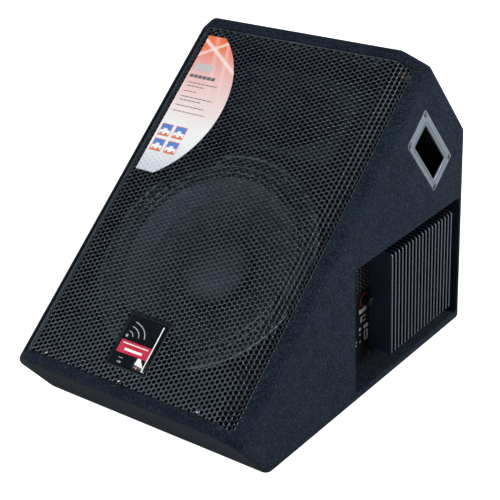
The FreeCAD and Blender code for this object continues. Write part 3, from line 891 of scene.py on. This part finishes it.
# ---- screws ----
def cross_head(radius, height):
    """A pan head on its own axis, with a cross recess."""
    steps = [i / 6 for i in range(7)]
    dome = [(radius * (1 - 0.32 * t * t), height * (0.35 + 0.65 * math.sin(t * math.pi / 2))) for t in steps]
    profile = [(radius * 0.5, -height * 0.6), (radius, -height * 0.6), (radius, height * 0.35)] + dome[1:]
    crown = [(radius * 0.35, height * 1.04), (0.0, height * 1.06), (0.0, -height * 0.6)]
    bm = lathe(profile + crown, Vector((0, 0, 0)), Vector((0, 0, 1)), ACROSS, 28)
    head = add_object("head", mesh_from(bm, "head"))
    long, thin = radius * 0.56, radius * 0.13
    corners = ((-1, -1), (1, -1), (1, 1), (-1, 1))
    for a, b in ((long, thin), (thin, long)):
        low = [Vector((sx * a * 0.35, sy * b * 0.7, height * 0.15)) for sx, sy in corners]
        high = [Vector((sx * a, sy * b, height * 1.5)) for sx, sy in corners]
        trim(head, mesh_from(loft([low, high]), "cutter"))
    mesh = head.data
    bpy.data.objects.remove(head)
    return mesh


def screws(node, axis_of, radius, height, material):
    """Heads on every fastener of a node, each with its own turn."""
    radius, height = radius * MM, height * MM
    master = cross_head(radius, height)
    bm = bmesh.new()
    for count, points in enumerate(islands(node)):
        axis = axis_of(points)
        top = max(p.dot(axis) for p in points)
        rim = [p for p in points if p.dot(axis) > top - 0.2 * MM]
        centre = sum(rim, Vector((0, 0, 0))) / len(rim)
        foot = centre + axis * (top - centre.dot(axis) - height * 1.06)
        turn = axis.to_track_quat("Z", "Y").to_matrix().to_4x4()
        spin = Matrix.Rotation(0.7 + count * 1.9, 4, "Z")
        copy = master.copy()
        copy.transform(Matrix.Translation(foot) @ turn @ spin)
        bm.from_mesh(copy)
        bpy.data.meshes.remove(copy)
    name = node.replace("screws", "screw_heads")
    piece = link(name, mesh_from(bm, name), material)
    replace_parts(piece, node)


def off_baffle(points):
    return OUT


def off_side(points):
    return ACROSS if points[0].x > 0 else -ACROSS


# node, which way the heads face, head radius and height in mm, finish
screws("grille_screws", off_baffle, 4.2, 2.0, DARK_SCREW)
screws("woofer_screws", off_baffle, 4.4, 3.2, BLACK_STEEL)
screws("horn_screws", off_baffle, 3.9, 2.7, BLACK_PLASTIC)
screws("handle_screws", off_side, 3.7, 1.0, DARK_SCREW)
screws("amp_screws", off_side, 3.4, 1.9, BLACK_STEEL)


# ---- handles ----
# The frame's section: out from the side in mm, at the outer edge or the mouth, growth and corner radius in mm.
FRAME_SECTION = ((-2.0, "edge", 0.0, 4.0), (-0.3, "edge", 0.0, 4.0), (0.2, "edge", -0.5, 3.8),
                 (0.5, "edge", -1.4, 3.4), (0.5, "mouth", 11.6, 4.6), (-0.4, "mouth", 10.2, 4.2),
                 (-0.4, "mouth", 8.6, 3.8), (0.5, "mouth", 7.2, 3.4), (0.45, "mouth", 3.0, 2.2),
                 (0.0, "mouth", 1.4, 1.8), (-1.0, "mouth", 0.4, 1.5), (-2.2, "mouth", 0.2, 1.5),
                 (-2.2, "mouth", 1.6, 2.0), (-2.0, "mouth", 4.0, 3.0), (-2.0, "edge", 0.0, 4.0))
mouth_size = (41.5 * MM, 98 * MM)
mouth_drop = 2.6 * MM


def handle_frame(side, label):
    """The plate round the mouth: a raised rim, a groove, and a sleeve turned in."""
    plate_size = (plate_high.y - plate_low.y, plate_high.z - plate_low.z)
    loops = []
    for out, where, grow, radius in FRAME_SECTION:
        wide, tall = mouth_size if where == "mouth" else plate_size
        drop = mouth_drop if where == "mouth" else 0.0
        loops.append(handle_loop(side, half + out * MM, wide + grow * MM, tall + grow * MM, radius * MM, drop))
    bm = loft(loops, caps=(False, False))
    bmesh.ops.remove_doubles(bm, verts=bm.verts, dist=1e-7)
    bmesh.ops.recalc_face_normals(bm, faces=bm.faces)
    plate = link("handle_frame_" + label, mesh_from(bm, "handle_frame"), SILVER, smooth=22)
    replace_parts(plate, "handle_plate_" + label)


def handle_bowl(side, label):
    """The moulded cup behind the frame, with a rounded bottom."""
    low, high = lean_box("handle_cup_" + label)
    depth = abs(high.x - low.x)
    wide, tall = high.y - low.y - 4 * MM, high.z - low.z - 4 * MM
    top, bowl, corner = half - felt_t, 11 * MM, 12 * MM
    turn_in = top - depth + bowl
    loops = [handle_loop(side, x, wide, tall, corner) for x in (top, turn_in)]
    for i in range(1, 6):
        t = i / 5 * math.pi / 2
        pull = bowl * (1 - math.cos(t))
        loops.append(handle_loop(side, turn_in - (bowl - 2 * MM) * math.sin(t),
                                 wide - 2 * pull, tall - 2 * pull, max(corner - pull, 2 * MM)))
    mesh = mesh_from(loft(loops, caps=(False, True)), "handle_bowl")
    cup = link("handle_bowl_" + label, mesh, CUP_PLASTIC_SHADED)
    thicken(cup, 1.8 * MM, 1)
    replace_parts(cup, "handle_cup_" + label)


# Black rings round the handle screws: painted shade standing for shadowed countersinks, not real washers.
def handle_shade_rings(side, label):
    ring = [(r * MM, h * MM) for r, h in ((4.7, -0.2), (4.7, 0.06), (4.2, 0.12), (3.0, 0.12), (3.0, -0.2))]
    shade_rings = []
    for points in islands("handle_screws"):
        if points[0].x * side > 0:
            centre = sum(points, Vector((0, 0, 0))) / len(points)
            centre.x = side * (half + 0.5 * MM)
            shade_rings.append((lathe(ring, centre, ACROSS * side, UP, 28), BLACK_PLASTIC))
    link("handle_shade_rings_" + label, joined(shade_rings), None)


for side, label in ((-1, "left"), (1, "right")):
    handle_frame(side, label)
    handle_bowl(side, label)
    handle_shade_rings(side, label)


# ---- woofer and horn ----
gasket_low, gasket_high = lean_box("woofer_gasket")
woofer_s = (gasket_low.y + gasket_high.y) / 2


def turned(name, profile, material, node, body="cabinet"):
    """A ring or dish turned on the woofer's axis, standing for a CAD piece."""
    mesh = mesh_from(lathe(profile, lean(0, woofer_s, 0), OUT, ACROSS, 128), name)
    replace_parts(link(name, mesh, material, body, 50), node)


def gasket():
    outer, base, top = (gasket_high.x - gasket_low.x) / 2, gasket_low.z, gasket_high.z
    ease = 0.8 * MM
    inner = outer - 8 * MM
    pad = [(outer, base), (outer, top - ease), (outer - ease, top), (inner, top),
           (outer - 8.8 * MM, top - ease), (outer - 8.8 * MM, base)]
    turned("woofer_gasket_ring", pad, RUBBER, "woofer_gasket")


def surround():
    """Two rolls of treated cloth between the gasket and the cone."""
    low, high = lean_box("woofer_surround")
    outer, inner = (high.x - low.x) / 2, 148.2 * MM
    wave = []
    for i in range(41):
        t = i / 40
        end = 1 if 0.08 < t < 0.95 else 0.4
        lift = 4.6 * MM * abs(math.sin(math.pi * 2 * t)) ** 0.8 * end
        wave.append((outer + (inner - outer) * t, low.z + 1.2 * MM + lift))
    under = [(r, h - 1.1 * MM) for r, h in reversed(wave)]
    turned("woofer_pleated_surround", wave + under, RUBBER, "woofer_surround")


def cone():
    """A curved cone with rings pressed into it."""
    low, high = lean_box("woofer_cone")
    edge = (high.x - low.x) / 2
    top, bottom = high.z, low.z
    face = []
    for i in range(61):
        t = i / 60
        r = edge - 0.4 * MM - (edge - 39 * MM) * t
        h = top - (top - bottom - 1.8 * MM) * (0.35 * t + 0.65 * t * t)
        rib = 0.55 * MM * max(0.0, math.cos(2 * math.pi * (t * 6))) ** 6 if 0.08 < t < 0.7 else 0.0
        face.append((r, h + rib))
    rear = [(r, h - 1.2 * MM) for r, h in reversed(face)]
    turned("ribbed_cone", face + rear, PULP, "woofer_cone", "woofer_motion")


def dust_cap():
    low, high = lean_box("dust_cap")
    radius = (high.x - low.x) / 2
    steps = [i / 14 * math.pi / 2 for i in range(15)]
    dome = [(radius * math.cos(t), low.z + (high.z - low.z) * math.sin(t)) for t in steps]
    dome[-1] = (0.0, high.z)
    inside = [(max(r - 0.8 * MM, 0.0), h - 0.8 * MM) for r, h in reversed(dome)]
    turned("cone_dust_cap", dome + inside, PULP, "dust_cap", "woofer_motion")


gasket()
surround()
cone()
dust_cap()
for node, material, bevel, smooth in (
        ("woofer_frame", BASKET, 0.8, 35), ("horn_flare", BLACK_PLASTIC, 0.8, 30),
        ("compression_driver", ZINC, 1.0, 35), ("driver_rear_cap", BLACK_PLASTIC, 1.0, 35),
        ("woofer_magnet", FERRITE, 1.5, 35), ("woofer_top_plate", ZINC, 0.6, 35),
        ("woofer_back_plate", ZINC, 1.0, 35)):
    refined(node, material, bevel, smooth=smooth)
paint("woofer_spider", SPIDER)
paint("voice_coil", COPPER)


# ---- badge and sticker ----
def badge_slab(low, high, radius, bevel):
    """The rounded plate, with its front edges eased."""
    width, height = high.x - low.x, high.y - low.y
    mid_x, mid_s = (low.x + high.x) / 2, (low.y + high.y) / 2
    loops = []
    for shrink, h in ((0, low.z), (0, high.z - bevel), (bevel * 0.3, high.z - bevel * 0.3), (bevel, high.z)):
        corner = max(radius - shrink, 0.1 * MM)
        points = round_corners(width - 2 * shrink, height - 2 * shrink, corner, 4)
        loops.append([lean(mid_x + x, mid_s + s, h) for x, s in points])
    return loft(loops)


def arc_strip(left, middle, radius, width, base, top):
    """One curved line of the sound-wave emblem, nearly a quarter turn long."""
    points = []
    for i in range(19):
        angle = math.radians(8 + 74 * i / 18)
        points.append((left + (4 + 1.35 * radius * math.cos(angle)) * MM,
                       middle + (6 + radius * math.sin(angle)) * MM))
    loops = []
    for i, (x, s) in enumerate(points):
        before, after = points[max(i - 1, 0)], points[min(i + 1, len(points) - 1)]
        run = Vector((after[0] - before[0], after[1] - before[1])).normalized()
        a = (x - run.y * width / 2, s + run.x * width / 2)
        b = (x + run.y * width / 2, s - run.x * width / 2)
        loops.append([lean(*a, base), lean(*b, base), lean(*b, top), lean(*a, top)])
    return loft(loops)


def badge_lights(middle, face):
    for x, name, material in ((-16.0, "power_light", LENS_DARK), (17.0, "limit_light", LENS_RED)):
        centre = lean(x * MM, middle - 35 * MM, face)
        steps = [i / 8 * math.pi / 2 for i in range(8)]
        lens = [(1.9 * MM * math.cos(t), 0.7 * MM * math.sin(t)) for t in steps] + [(0.0, 0.7 * MM)]
        bm = lathe(lens + [(0.0, -0.05 * MM), (1.9 * MM, -0.05 * MM)], centre, OUT, ACROSS, 24)
        link(name, mesh_from(bm, name), material)


def badge():
    """A gloss plate with a red band, a white line, a plain sound-wave emblem and two lights."""
    refined("badge_tray", BLACK_PLASTIC, 0.4)
    low, high = lean_box("badge_plate")
    face = high.z
    parts = [(badge_slab(low, high, 1.6 * MM, 0.8 * MM), GLOSS_BLACK)]
    under, lift = face - 0.1 * MM, face + 0.05 * MM
    middle = (low.y + high.y) / 2
    left, right = low.x + 2.5 * MM, high.x - 7.4 * MM

    def bar(x0, x1, s0, s1, material, top=lift):
        corners = ((x0, middle + s0 * MM, under), (x1, middle + s1 * MM, top))
        parts.append((box_mesh(*corners, axes=LEAN_AXES), material))

    bar(left, right, -20.5, 0.0, BADGE_RED)
    bar(right + 0.6 * MM, right + 2.6 * MM, -38.0, 37.0, INK)
    bar(left + 5 * MM, right - 5 * MM, -5.2, -3.6, INK, lift + 0.03 * MM)
    bar(left + 13 * MM, right - 12 * MM, -15.5, -11.5, INK, lift + 0.03 * MM)
    for radius, width in ((9, 1.3), (17, 1.5), (25, 1.7)):
        parts.append((arc_strip(left, middle, radius, width * MM, under, lift), SILVER_INK))
    disc = [(2.4 * MM, -0.1 * MM), (2.4 * MM, 0.05 * MM), (0.0, 0.05 * MM), (0.0, -0.1 * MM)]
    parts.append((lathe(disc, lean(left + 5 * MM, middle + 7 * MM, face), OUT, ACROSS, 24), SILVER_INK))
    for x in (-17.6 * MM, 15.4 * MM):
        bar(x - 4 * MM, x + 4 * MM, -28.6, -27.6, SILVER_INK)
        bar(x - 3.4 * MM, x - 1.8 * MM, -36.2, -33.4, SILVER_INK)
    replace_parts(link("badge", joined(parts), None), "badge_plate")
    badge_lights(middle, face)


badge()


def streak(tree, u, v, start, end, width):
    """A pale line through two points of the film, in millimetres, fading to its sides."""
    run = (end[0] - start[0], end[1] - start[1])
    length = math.hypot(*run)
    normal = (-run[1] / length, run[0] / length)
    level = normal[0] * start[0] + normal[1] * start[1]
    side = math_node(tree, "MULTIPLY_ADD", v, normal[1], math_node(tree, "MULTIPLY", u, normal[0]))
    gap = math_node(tree, "ABSOLUTE", math_node(tree, "SUBTRACT", side, level))
    return map_range(tree, gap, width, width * 0.3)


# Pale lines on the film: start and end in millimetres from its corner, width in mm, strength.
STREAKS = (((0.0, 256.0), (92.0, 200.0), 4.6, 0.75), ((0.0, 226.0), (60.0, 264.0), 4.0, 0.7),
           ((30.0, 238.0), (62.0, 150.0), 6.0, 0.25), ((46.0, 262.0), (78.0, 160.0), 5.0, 0.3))


def film_holes(tree, sheet):
    """The grille's hole pattern, as the film shows it."""
    per_column = 1.0 / (hole_pitch * math.sqrt(3) / 2 / MM)
    middle = (grille_low.y + grille_high.y) / 2
    shift = (film_low.x / MM * per_column, (film_low.y - middle) / MM * per_column, 0.0)
    lattice = vector_math(tree, "MULTIPLY", sheet, (per_column, per_column, 0.0))
    return use_group(tree, DIMPLES, Sheet=vector_math(tree, "ADD", lattice, shift))["Holes"]


def film_material():
    """Printed film: orange at the top, pink below it, white at the foot, with pale crossing streaks."""
    material, tree, shader, place = new_material("printed_film", Roughness=0.4, Specular_IOR_Level=0.35)
    sheet = wire(tree, "ShaderNodeUVMap", uv_map="sheet").outputs[0]
    u, v, _ = wire(tree, "ShaderNodeSeparateXYZ", {0: sheet}).outputs
    level = math_node(tree, "MULTIPLY_ADD", noise(tree, place, 14.0, 2.0, 0.5), 26.0, v)
    colour = mix_colour(tree, map_range(tree, level, 100.0, 212.0), (0.76, 0.76, 0.755), (0.74, 0.44, 0.42))
    colour = mix_colour(tree, map_range(tree, level, 205.0, 262.0), colour, (0.75, 0.165, 0.060))
    for start, end, width, weight in STREAKS:
        line = math_node(tree, "MULTIPLY", streak(tree, u, v, start, end, width), weight)
        line = math_node(tree, "MULTIPLY", line, map_range(tree, v, 130.0, 190.0))
        colour = mix_colour(tree, line, colour, (0.86, 0.74, 0.71))
    colour = mix_colour(tree, map_range(tree, level, 66.0, 26.0), colour, (0.55, 0.59, 0.65))
    holes = film_holes(tree, sheet)
    shown = math_node(tree, "MULTIPLY", holes, map_range(tree, level, 78.0, 20.0, 0.05, 0.6))
    colour = mix_colour(tree, shown, colour, (0.34, 0.38, 0.45))
    tree.links.new(colour, shader.inputs["Base Color"])
    smear = noise(tree, place, 60.0, 3.0, 0.6)
    tree.links.new(map_range(tree, smear, 0.3, 0.7, 0.30, 0.42), shader.inputs["Roughness"])
    bump(tree, shader, math_node(tree, "MULTIPLY_ADD", holes, -1.0, smear), 0.12 * MM)
    return material


film_low, film_high = lean_box("sticker")
# Rows of short bars on the film: left, foot, width and height in mm.
PRINT_ROWS = ((5, 182, 55, 6), (10, 171.5, 59, 1.6), (10, 165.0, 36, 1.6), (10, 154.5, 25, 1.6),
              (10, 144.0, 65, 1.6), (10, 137.5, 44, 1.6), (10, 126.5, 57, 1.6), (10, 115.5, 65, 1.6))
# One small picture: left, foot, width, height and lift in mm, and ink.
PICTURE = ((0.0, 0.0, 23.2, 23.0, 0.0, ORANGE_INK), (1.2, 11.0, 20.8, 10.8, 0.02, BLUE_INK),
           (1.2, 3.4, 20.8, 7.6, 0.02, INK), (7.0, 9.0, 8.0, 5.5, 0.04, INK),
           (4.0, 3.4, 3.4, 3.0, 0.04, ORANGE_INK), (14.0, 3.4, 5.0, 3.0, 0.04, ORANGE_INK))


def sticker_film():
    """The film itself, with a flat map in millimetres from its lower left corner."""
    bm = node_mesh("sticker")
    layer = bm.loops.layers.uv.new("sheet")
    for face in bm.faces:
        for corner in face.loops:
            point = corner.vert.co
            corner[layer].uv = ((point.x - film_low.x) / MM, (point.dot(UP) - film_low.y) / MM)
    film = link("sticker_film", mesh_from(bm, "sticker_film"), film_material())
    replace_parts(film, "sticker")


def sticker_marks():
    """Four small pictures and rows of short bars, printed a little proud of the film."""
    base, top = film_high.z - 0.05 * MM, film_high.z + 0.04 * MM
    parts = []

    def bar(x, s, wide, tall, material, lift=0.0):
        low = (film_low.x + x * MM, film_low.y + s * MM)
        high = (low[0] + wide * MM, low[1] + tall * MM)
        parts.append((box_mesh((*low, base), (*high, top + lift * MM), axes=LEAN_AXES), material))

    for x in (5.0, 34.4):
        for s in (66.5, 37.7):
            for right, up, wide, tall, lift, ink in PICTURE:
                bar(x + right, s + up, wide, tall, ink, lift)
    for x, s, wide, tall in PRINT_ROWS:
        for k in range(int(wide / 9) + 1):
            piece_wide = min(7.6, wide - k * 9)
            if piece_wide > 1.0:
                bar(x + k * 9, s, piece_wide, tall, GREY_INK)
    for s in (171.0, 154.0, 143.5, 126.0, 115.0):
        bar(6.0, s + 0.6, 1.6, 1.4, GREY_INK)
    bar(6.0, 196.0, 36.0, 14.0, PALE_INK)
    link("sticker_marks", joined(parts), None)


sticker_film()
sticker_marks()


# ---- amplifier ----
refined("amp_chassis_plate", CHASSIS, 0.3)
panel_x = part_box("amp_chassis_plate")[1].x


def heatsink():
    """Fins whose front edges take a lighter finish, partly bare metal and partly painted highlight, and whose
    faces in the gaps take black plastic as painted shade; the near face keeps the anodised finish.
    """
    sink = refined("heatsink", SINK, 0.95, 3)
    dress(sink.data, SINK, FIN_TIP_BARE_AND_LIT, BLACK_PLASTIC)
    tip = max(v.co.x for v in sink.data.vertices)
    near = min(v.co.y for v in sink.data.vertices)
    for face in sink.data.polygons:
        # Tip faces: the lighter finish, a painted highlight where the fin edges catch light.
        if face.center.x > tip - 0.4 * MM and face.normal.x > 0.9:
            face.material_index = 1
        # Fin faces between the fins: black plastic, painted shade in the gaps.
        elif abs(face.normal.y) > 0.7 and face.center.y > near + 1.0 * MM:
            face.material_index = 2


heatsink()


DEPTH = Vector((0, 1, 0))
# How far up the knob, its width there, and whether it is ribbed there.
KNOB_LEVELS = ((0.0, 1.0, True), (0.62, 0.98, True), (0.70, 0.88, False), (0.94, 0.84, False),
               (1.0, 0.78, False))


def knob(node, body, teeth):
    """A turned cap with a ribbed skirt, a pale pointer and a metal shaft."""
    low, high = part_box(node)
    centre = Vector((0, (low.y + high.y) / 2, (low.z + high.z) / 2))
    radius = (high.y - low.y) / 2
    foot, top = panel_x + 1.2 * MM, high.x
    loops = []
    for rise, scale, ribbed in KNOB_LEVELS:
        loop = []
        for i in range(teeth * 2):
            angle = 2 * math.pi * i / (teeth * 2)
            r = radius * scale * (0.94 if ribbed and i % 2 else 1.0)
            y, z = centre.y + r * math.cos(angle), centre.z + r * math.sin(angle)
            loop.append(Vector((foot + (top - foot) * rise, y, z)))
        loops.append(loop)
    pointer = ((top - 0.2 * MM, -0.5 * MM, 1.5 * MM), (top + 0.12 * MM, 0.5 * MM, radius * 0.76))
    shaft = [(2.9 * MM, low.x), (2.9 * MM, foot + 1 * MM), (0.0, foot + 1 * MM), (0.0, low.x)]
    parts = [(loft(loops), BLACK_PLASTIC), (box_mesh(*pointer, origin=centre), SILVER_INK),
             (lathe(shaft, centre, ACROSS, DEPTH, 24), ZINC)]
    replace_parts(link("look_" + node, joined(parts), None, body, 30), node)


knob("level_knob", "level_control", 18)
knob("treble_knob", "treble_control", 14)
knob("bass_knob", "bass_control", 14)
for node, material, bevel in (
        ("level_ring", RED_RING_SHADED, 0.5), ("line_button", BLACK_PLASTIC, 0.5),
        ("input_socket", BLACK_PLASTIC, 0.5), ("input_latch", ZINC, 0.4),
        ("link_jack", BLACK_PLASTIC, 0.5), ("mains_inlet", BLACK_PLASTIC, 0.4),
        ("fuse_drawer", BLACK_PLASTIC, 0.3), ("switch_bezel", BLACK_PLASTIC, 0.4),
        ("power_rocker", RED, 0.5), ("rubber_feet", FOOT_RUBBER, 0.8)):
    refined(node, material, bevel)
paint("amp_circuit_board", BOARD)
refined("mains_transformer", COPPER, 3.0, 4)
print_back, print_front = panel_x - 0.05 * MM, panel_x + 0.12 * MM


def on_panel(y0, y1, z0, z1):
    return box_mesh((print_back, y0, z0), (print_front, y1, z1))


def dot(y, z, radius, sides=10):
    turns = [2 * math.pi * i / sides for i in range(sides)]
    return loft([[Vector((x, y + radius * math.cos(t), z + radius * math.sin(t))) for t in turns]
                 for x in (print_back, print_front)])


def scale_dots(node, radius):
    """Eleven dots round a knob, over 300 degrees."""
    low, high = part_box(node)
    y, z = (low.y + high.y) / 2, (low.z + high.z) / 2
    dots = []
    for i in range(11):
        angle = math.radians(240 - 30 * i)
        dots.append((dot(y + radius * math.cos(angle), z + radius * math.sin(angle), 0.6 * MM), INK))
    return dots


# Under the level ring, in mm from its middle and foot: bars (left, right, foot, top) and discs (y, z, radius).
PANEL_BARS = ((-13, 8, -9.5, -2.5), (-9, -5, -27, -16), (-3, 6, -19, -16.5), (-3, 6, -27, -24.5),
              (0, 13, -42, -35), (1, 12, -48, -46), (1, 4, -60, -48), (9, 12, -60, -48), (1, 12, -63, -61))
PANEL_DISCS = ((-11, -37.5, 3.0), (-11, -47.5, 1.9), (-22, -57, 1.6), (-23, -63, 1.6), (-11, -61, 1.8))


def panel_print():
    """Plain bars, dots and scale marks where a panel has its legends."""
    ring_low, ring_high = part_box("level_ring")
    ring_y, foot = (ring_low.y + ring_high.y) / 2, ring_low.z
    parts = scale_dots("treble_knob", 9.3 * MM) + scale_dots("bass_knob", 9.3 * MM)
    for row in range(7):
        for column in range(4):
            y = ring_y + (-19 + column * 10.0 + (2.4 if row % 2 else 0.0)) * MM
            parts.append((dot(y, ring_high.z + (7 + row * 6.5) * MM, 0.95 * MM, 8), DULL_INK))
    for y0, y1, z0, z1 in PANEL_BARS:
        parts.append((on_panel(ring_y + y0 * MM, ring_y + y1 * MM, foot + z0 * MM, foot + z1 * MM), DULL_INK))
    for y, z, r in PANEL_DISCS:
        parts.append((dot(ring_y + y * MM, foot + z * MM, r * MM, 16), DULL_INK))
    for node in ("input_socket", "link_jack", "switch_bezel", "mains_inlet"):
        low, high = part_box(node)
        y = (low.y + high.y) / 2
        parts.append((on_panel(y - 8 * MM, y + 8 * MM, low.z - 3.2 * MM, low.z - 2.4 * MM), SILVER_INK))
    link("panel_print", joined(parts), None)


panel_print()


def contacts():
    """Three sprung tubes in the input well."""
    low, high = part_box("input_socket")
    y, z = (low.y + high.y) / 2, low.z + 14 * MM
    foot = panel_x - 17 * MM
    tube = [(1.2 * MM, foot), (1.2 * MM, foot + 5.6 * MM), (0.7 * MM, foot + 5.6 * MM), (0.7 * MM, foot)]
    parts = []
    for i in range(3):
        angle = math.radians(90 + 120 * i)
        centre = Vector((0, y + 5 * MM * math.cos(angle), z + 5 * MM * math.sin(angle)))
        parts.append((lathe(tube, centre, ACROSS, DEPTH, 16), BRASS))
    link("input_contacts", joined(parts), None)


contacts()

for node in ("baffle_board", "grille_batten_top", "grille_batten_bottom", "grille_battens_side"):
    refined(node, BLACK_WOOD, 0.6)
for node in ("amp_bay_front_wall", "amp_bay_top_wall", "amp_mount_frame"):
    paint(node, PLYWOOD)


# ---- floor, lights and camera ----
def floor():
    """A wide pale floor that looks white to the camera but lights the object only a little."""
    bm = bmesh.new()
    bmesh.ops.create_grid(bm, x_segments=1, y_segments=1, size=30.0)
    ground = add_object("ground", mesh_from(bm, "ground"))
    material, tree, shader, place = new_material("pale_floor", Roughness=0.9, Specular_IOR_Level=0.0)
    shade = map_range(tree, noise(tree, place, 3.0, 2.0, 0.5), 0.3, 0.7)
    tree.links.new(mix_colour(tree, shade, (0.72, 0.72, 0.72), (0.76, 0.76, 0.76)), shader.inputs["Base Color"])
    seen = wire(tree, "ShaderNodeLightPath").outputs["Is Camera Ray"]
    shader.inputs["Emission Color"].default_value = (1.0, 1.0, 1.0, 1.0)
    tree.links.new(math_node(tree, "MULTIPLY", seen, 0.94), shader.inputs["Emission Strength"])
    ground.data.materials.append(material)


# name, azimuth from the front, height angle, distance in metres, size in metres, power in watts
LAMPS = (("front_key", -6, 46, 3.2, (0.7, 0.5), 54.0), ("front_left", -40, 35, 3.2, (0.8, 0.6), 32.0),
         ("back_right", 124, 14, 3.0, (1.2, 1.0), 92.0), ("top_right", 92, 50, 3.0, (0.4, 0.4), 3.0),
         ("side_fill", 56, 7, 3.2, (1.0, 0.7), 7.0), ("overhead", 10, 82, 3.0, (1.2, 1.2), 14.0))


def area_light(name, azimuth, elevation, distance, size, power):
    """A soft box that faces the middle of the cabinet."""
    data = bpy.data.lights.new(name, "AREA")
    data.shape = "RECTANGLE"
    data.size, data.size_y = size
    data.energy = power
    turn, lift = math.radians(azimuth), math.radians(elevation)
    flat = distance * math.cos(lift)
    place = Vector((flat * math.sin(turn), -flat * math.cos(turn), 0.2 + distance * math.sin(lift)))
    lamp = add_object(name, data)
    lamp.location = place
    lamp.rotation_mode = "QUATERNION"
    lamp.rotation_quaternion = (place - Vector((0.0, 0.0, 0.25))).to_track_quat("Z", "Y")


def lights():
    """A white surround for the view, a dim one for the object, and soft boxes round it."""
    world = bpy.data.worlds.new("studio")
    world.use_nodes = True
    tree = world.node_tree
    plain = tree.nodes["Background"]
    plain.inputs[0].default_value = (0.80, 0.90, 1.0, 1.0)
    plain.inputs[1].default_value = 0.09
    bright = wire(tree, "ShaderNodeBackground", {0: (1.0, 1.0, 1.0, 1.0), 1: 1.0})
    seen = wire(tree, "ShaderNodeLightPath").outputs["Is Camera Ray"]
    mixed = wire(tree, "ShaderNodeMixShader", {0: seen, 1: plain.outputs[0], 2: bright.outputs[0]})
    tree.links.new(mixed.outputs[0], tree.nodes["World Output"].inputs[0])
    bpy.context.scene.world = world
    for lamp in LAMPS:
        area_light(*lamp)


def camera():
    """The three-quarter view: azimuth from the front, height angle, roll, distance and lens."""
    azimuth, elevation, roll = math.radians(38.18), math.radians(26.13), math.radians(-2.59)
    distance, aim = 2.1274, Vector((-0.0006, 0.0240, 0.2024))
    data = bpy.data.cameras.new("view")
    data.sensor_width = 36.0
    data.lens = 93.97
    eye = add_object("view", data)
    back = Vector((math.sin(azimuth) * math.cos(elevation), -math.cos(azimuth) * math.cos(elevation),
                   math.sin(elevation)))
    right = Vector((0, 0, 1)).cross(back).normalized()
    up = back.cross(right)
    turned_right = right * math.cos(roll) + up * math.sin(roll)
    turned_up = up * math.cos(roll) - right * math.sin(roll)
    turn = Matrix((turned_right, turned_up, back)).transposed()
    eye.matrix_world = Matrix.Translation(aim + back * distance) @ turn.to_4x4()
    bpy.context.scene.camera = eye


floor()
lights()
camera()
bpy.context.scene.view_settings.view_transform = "Standard"
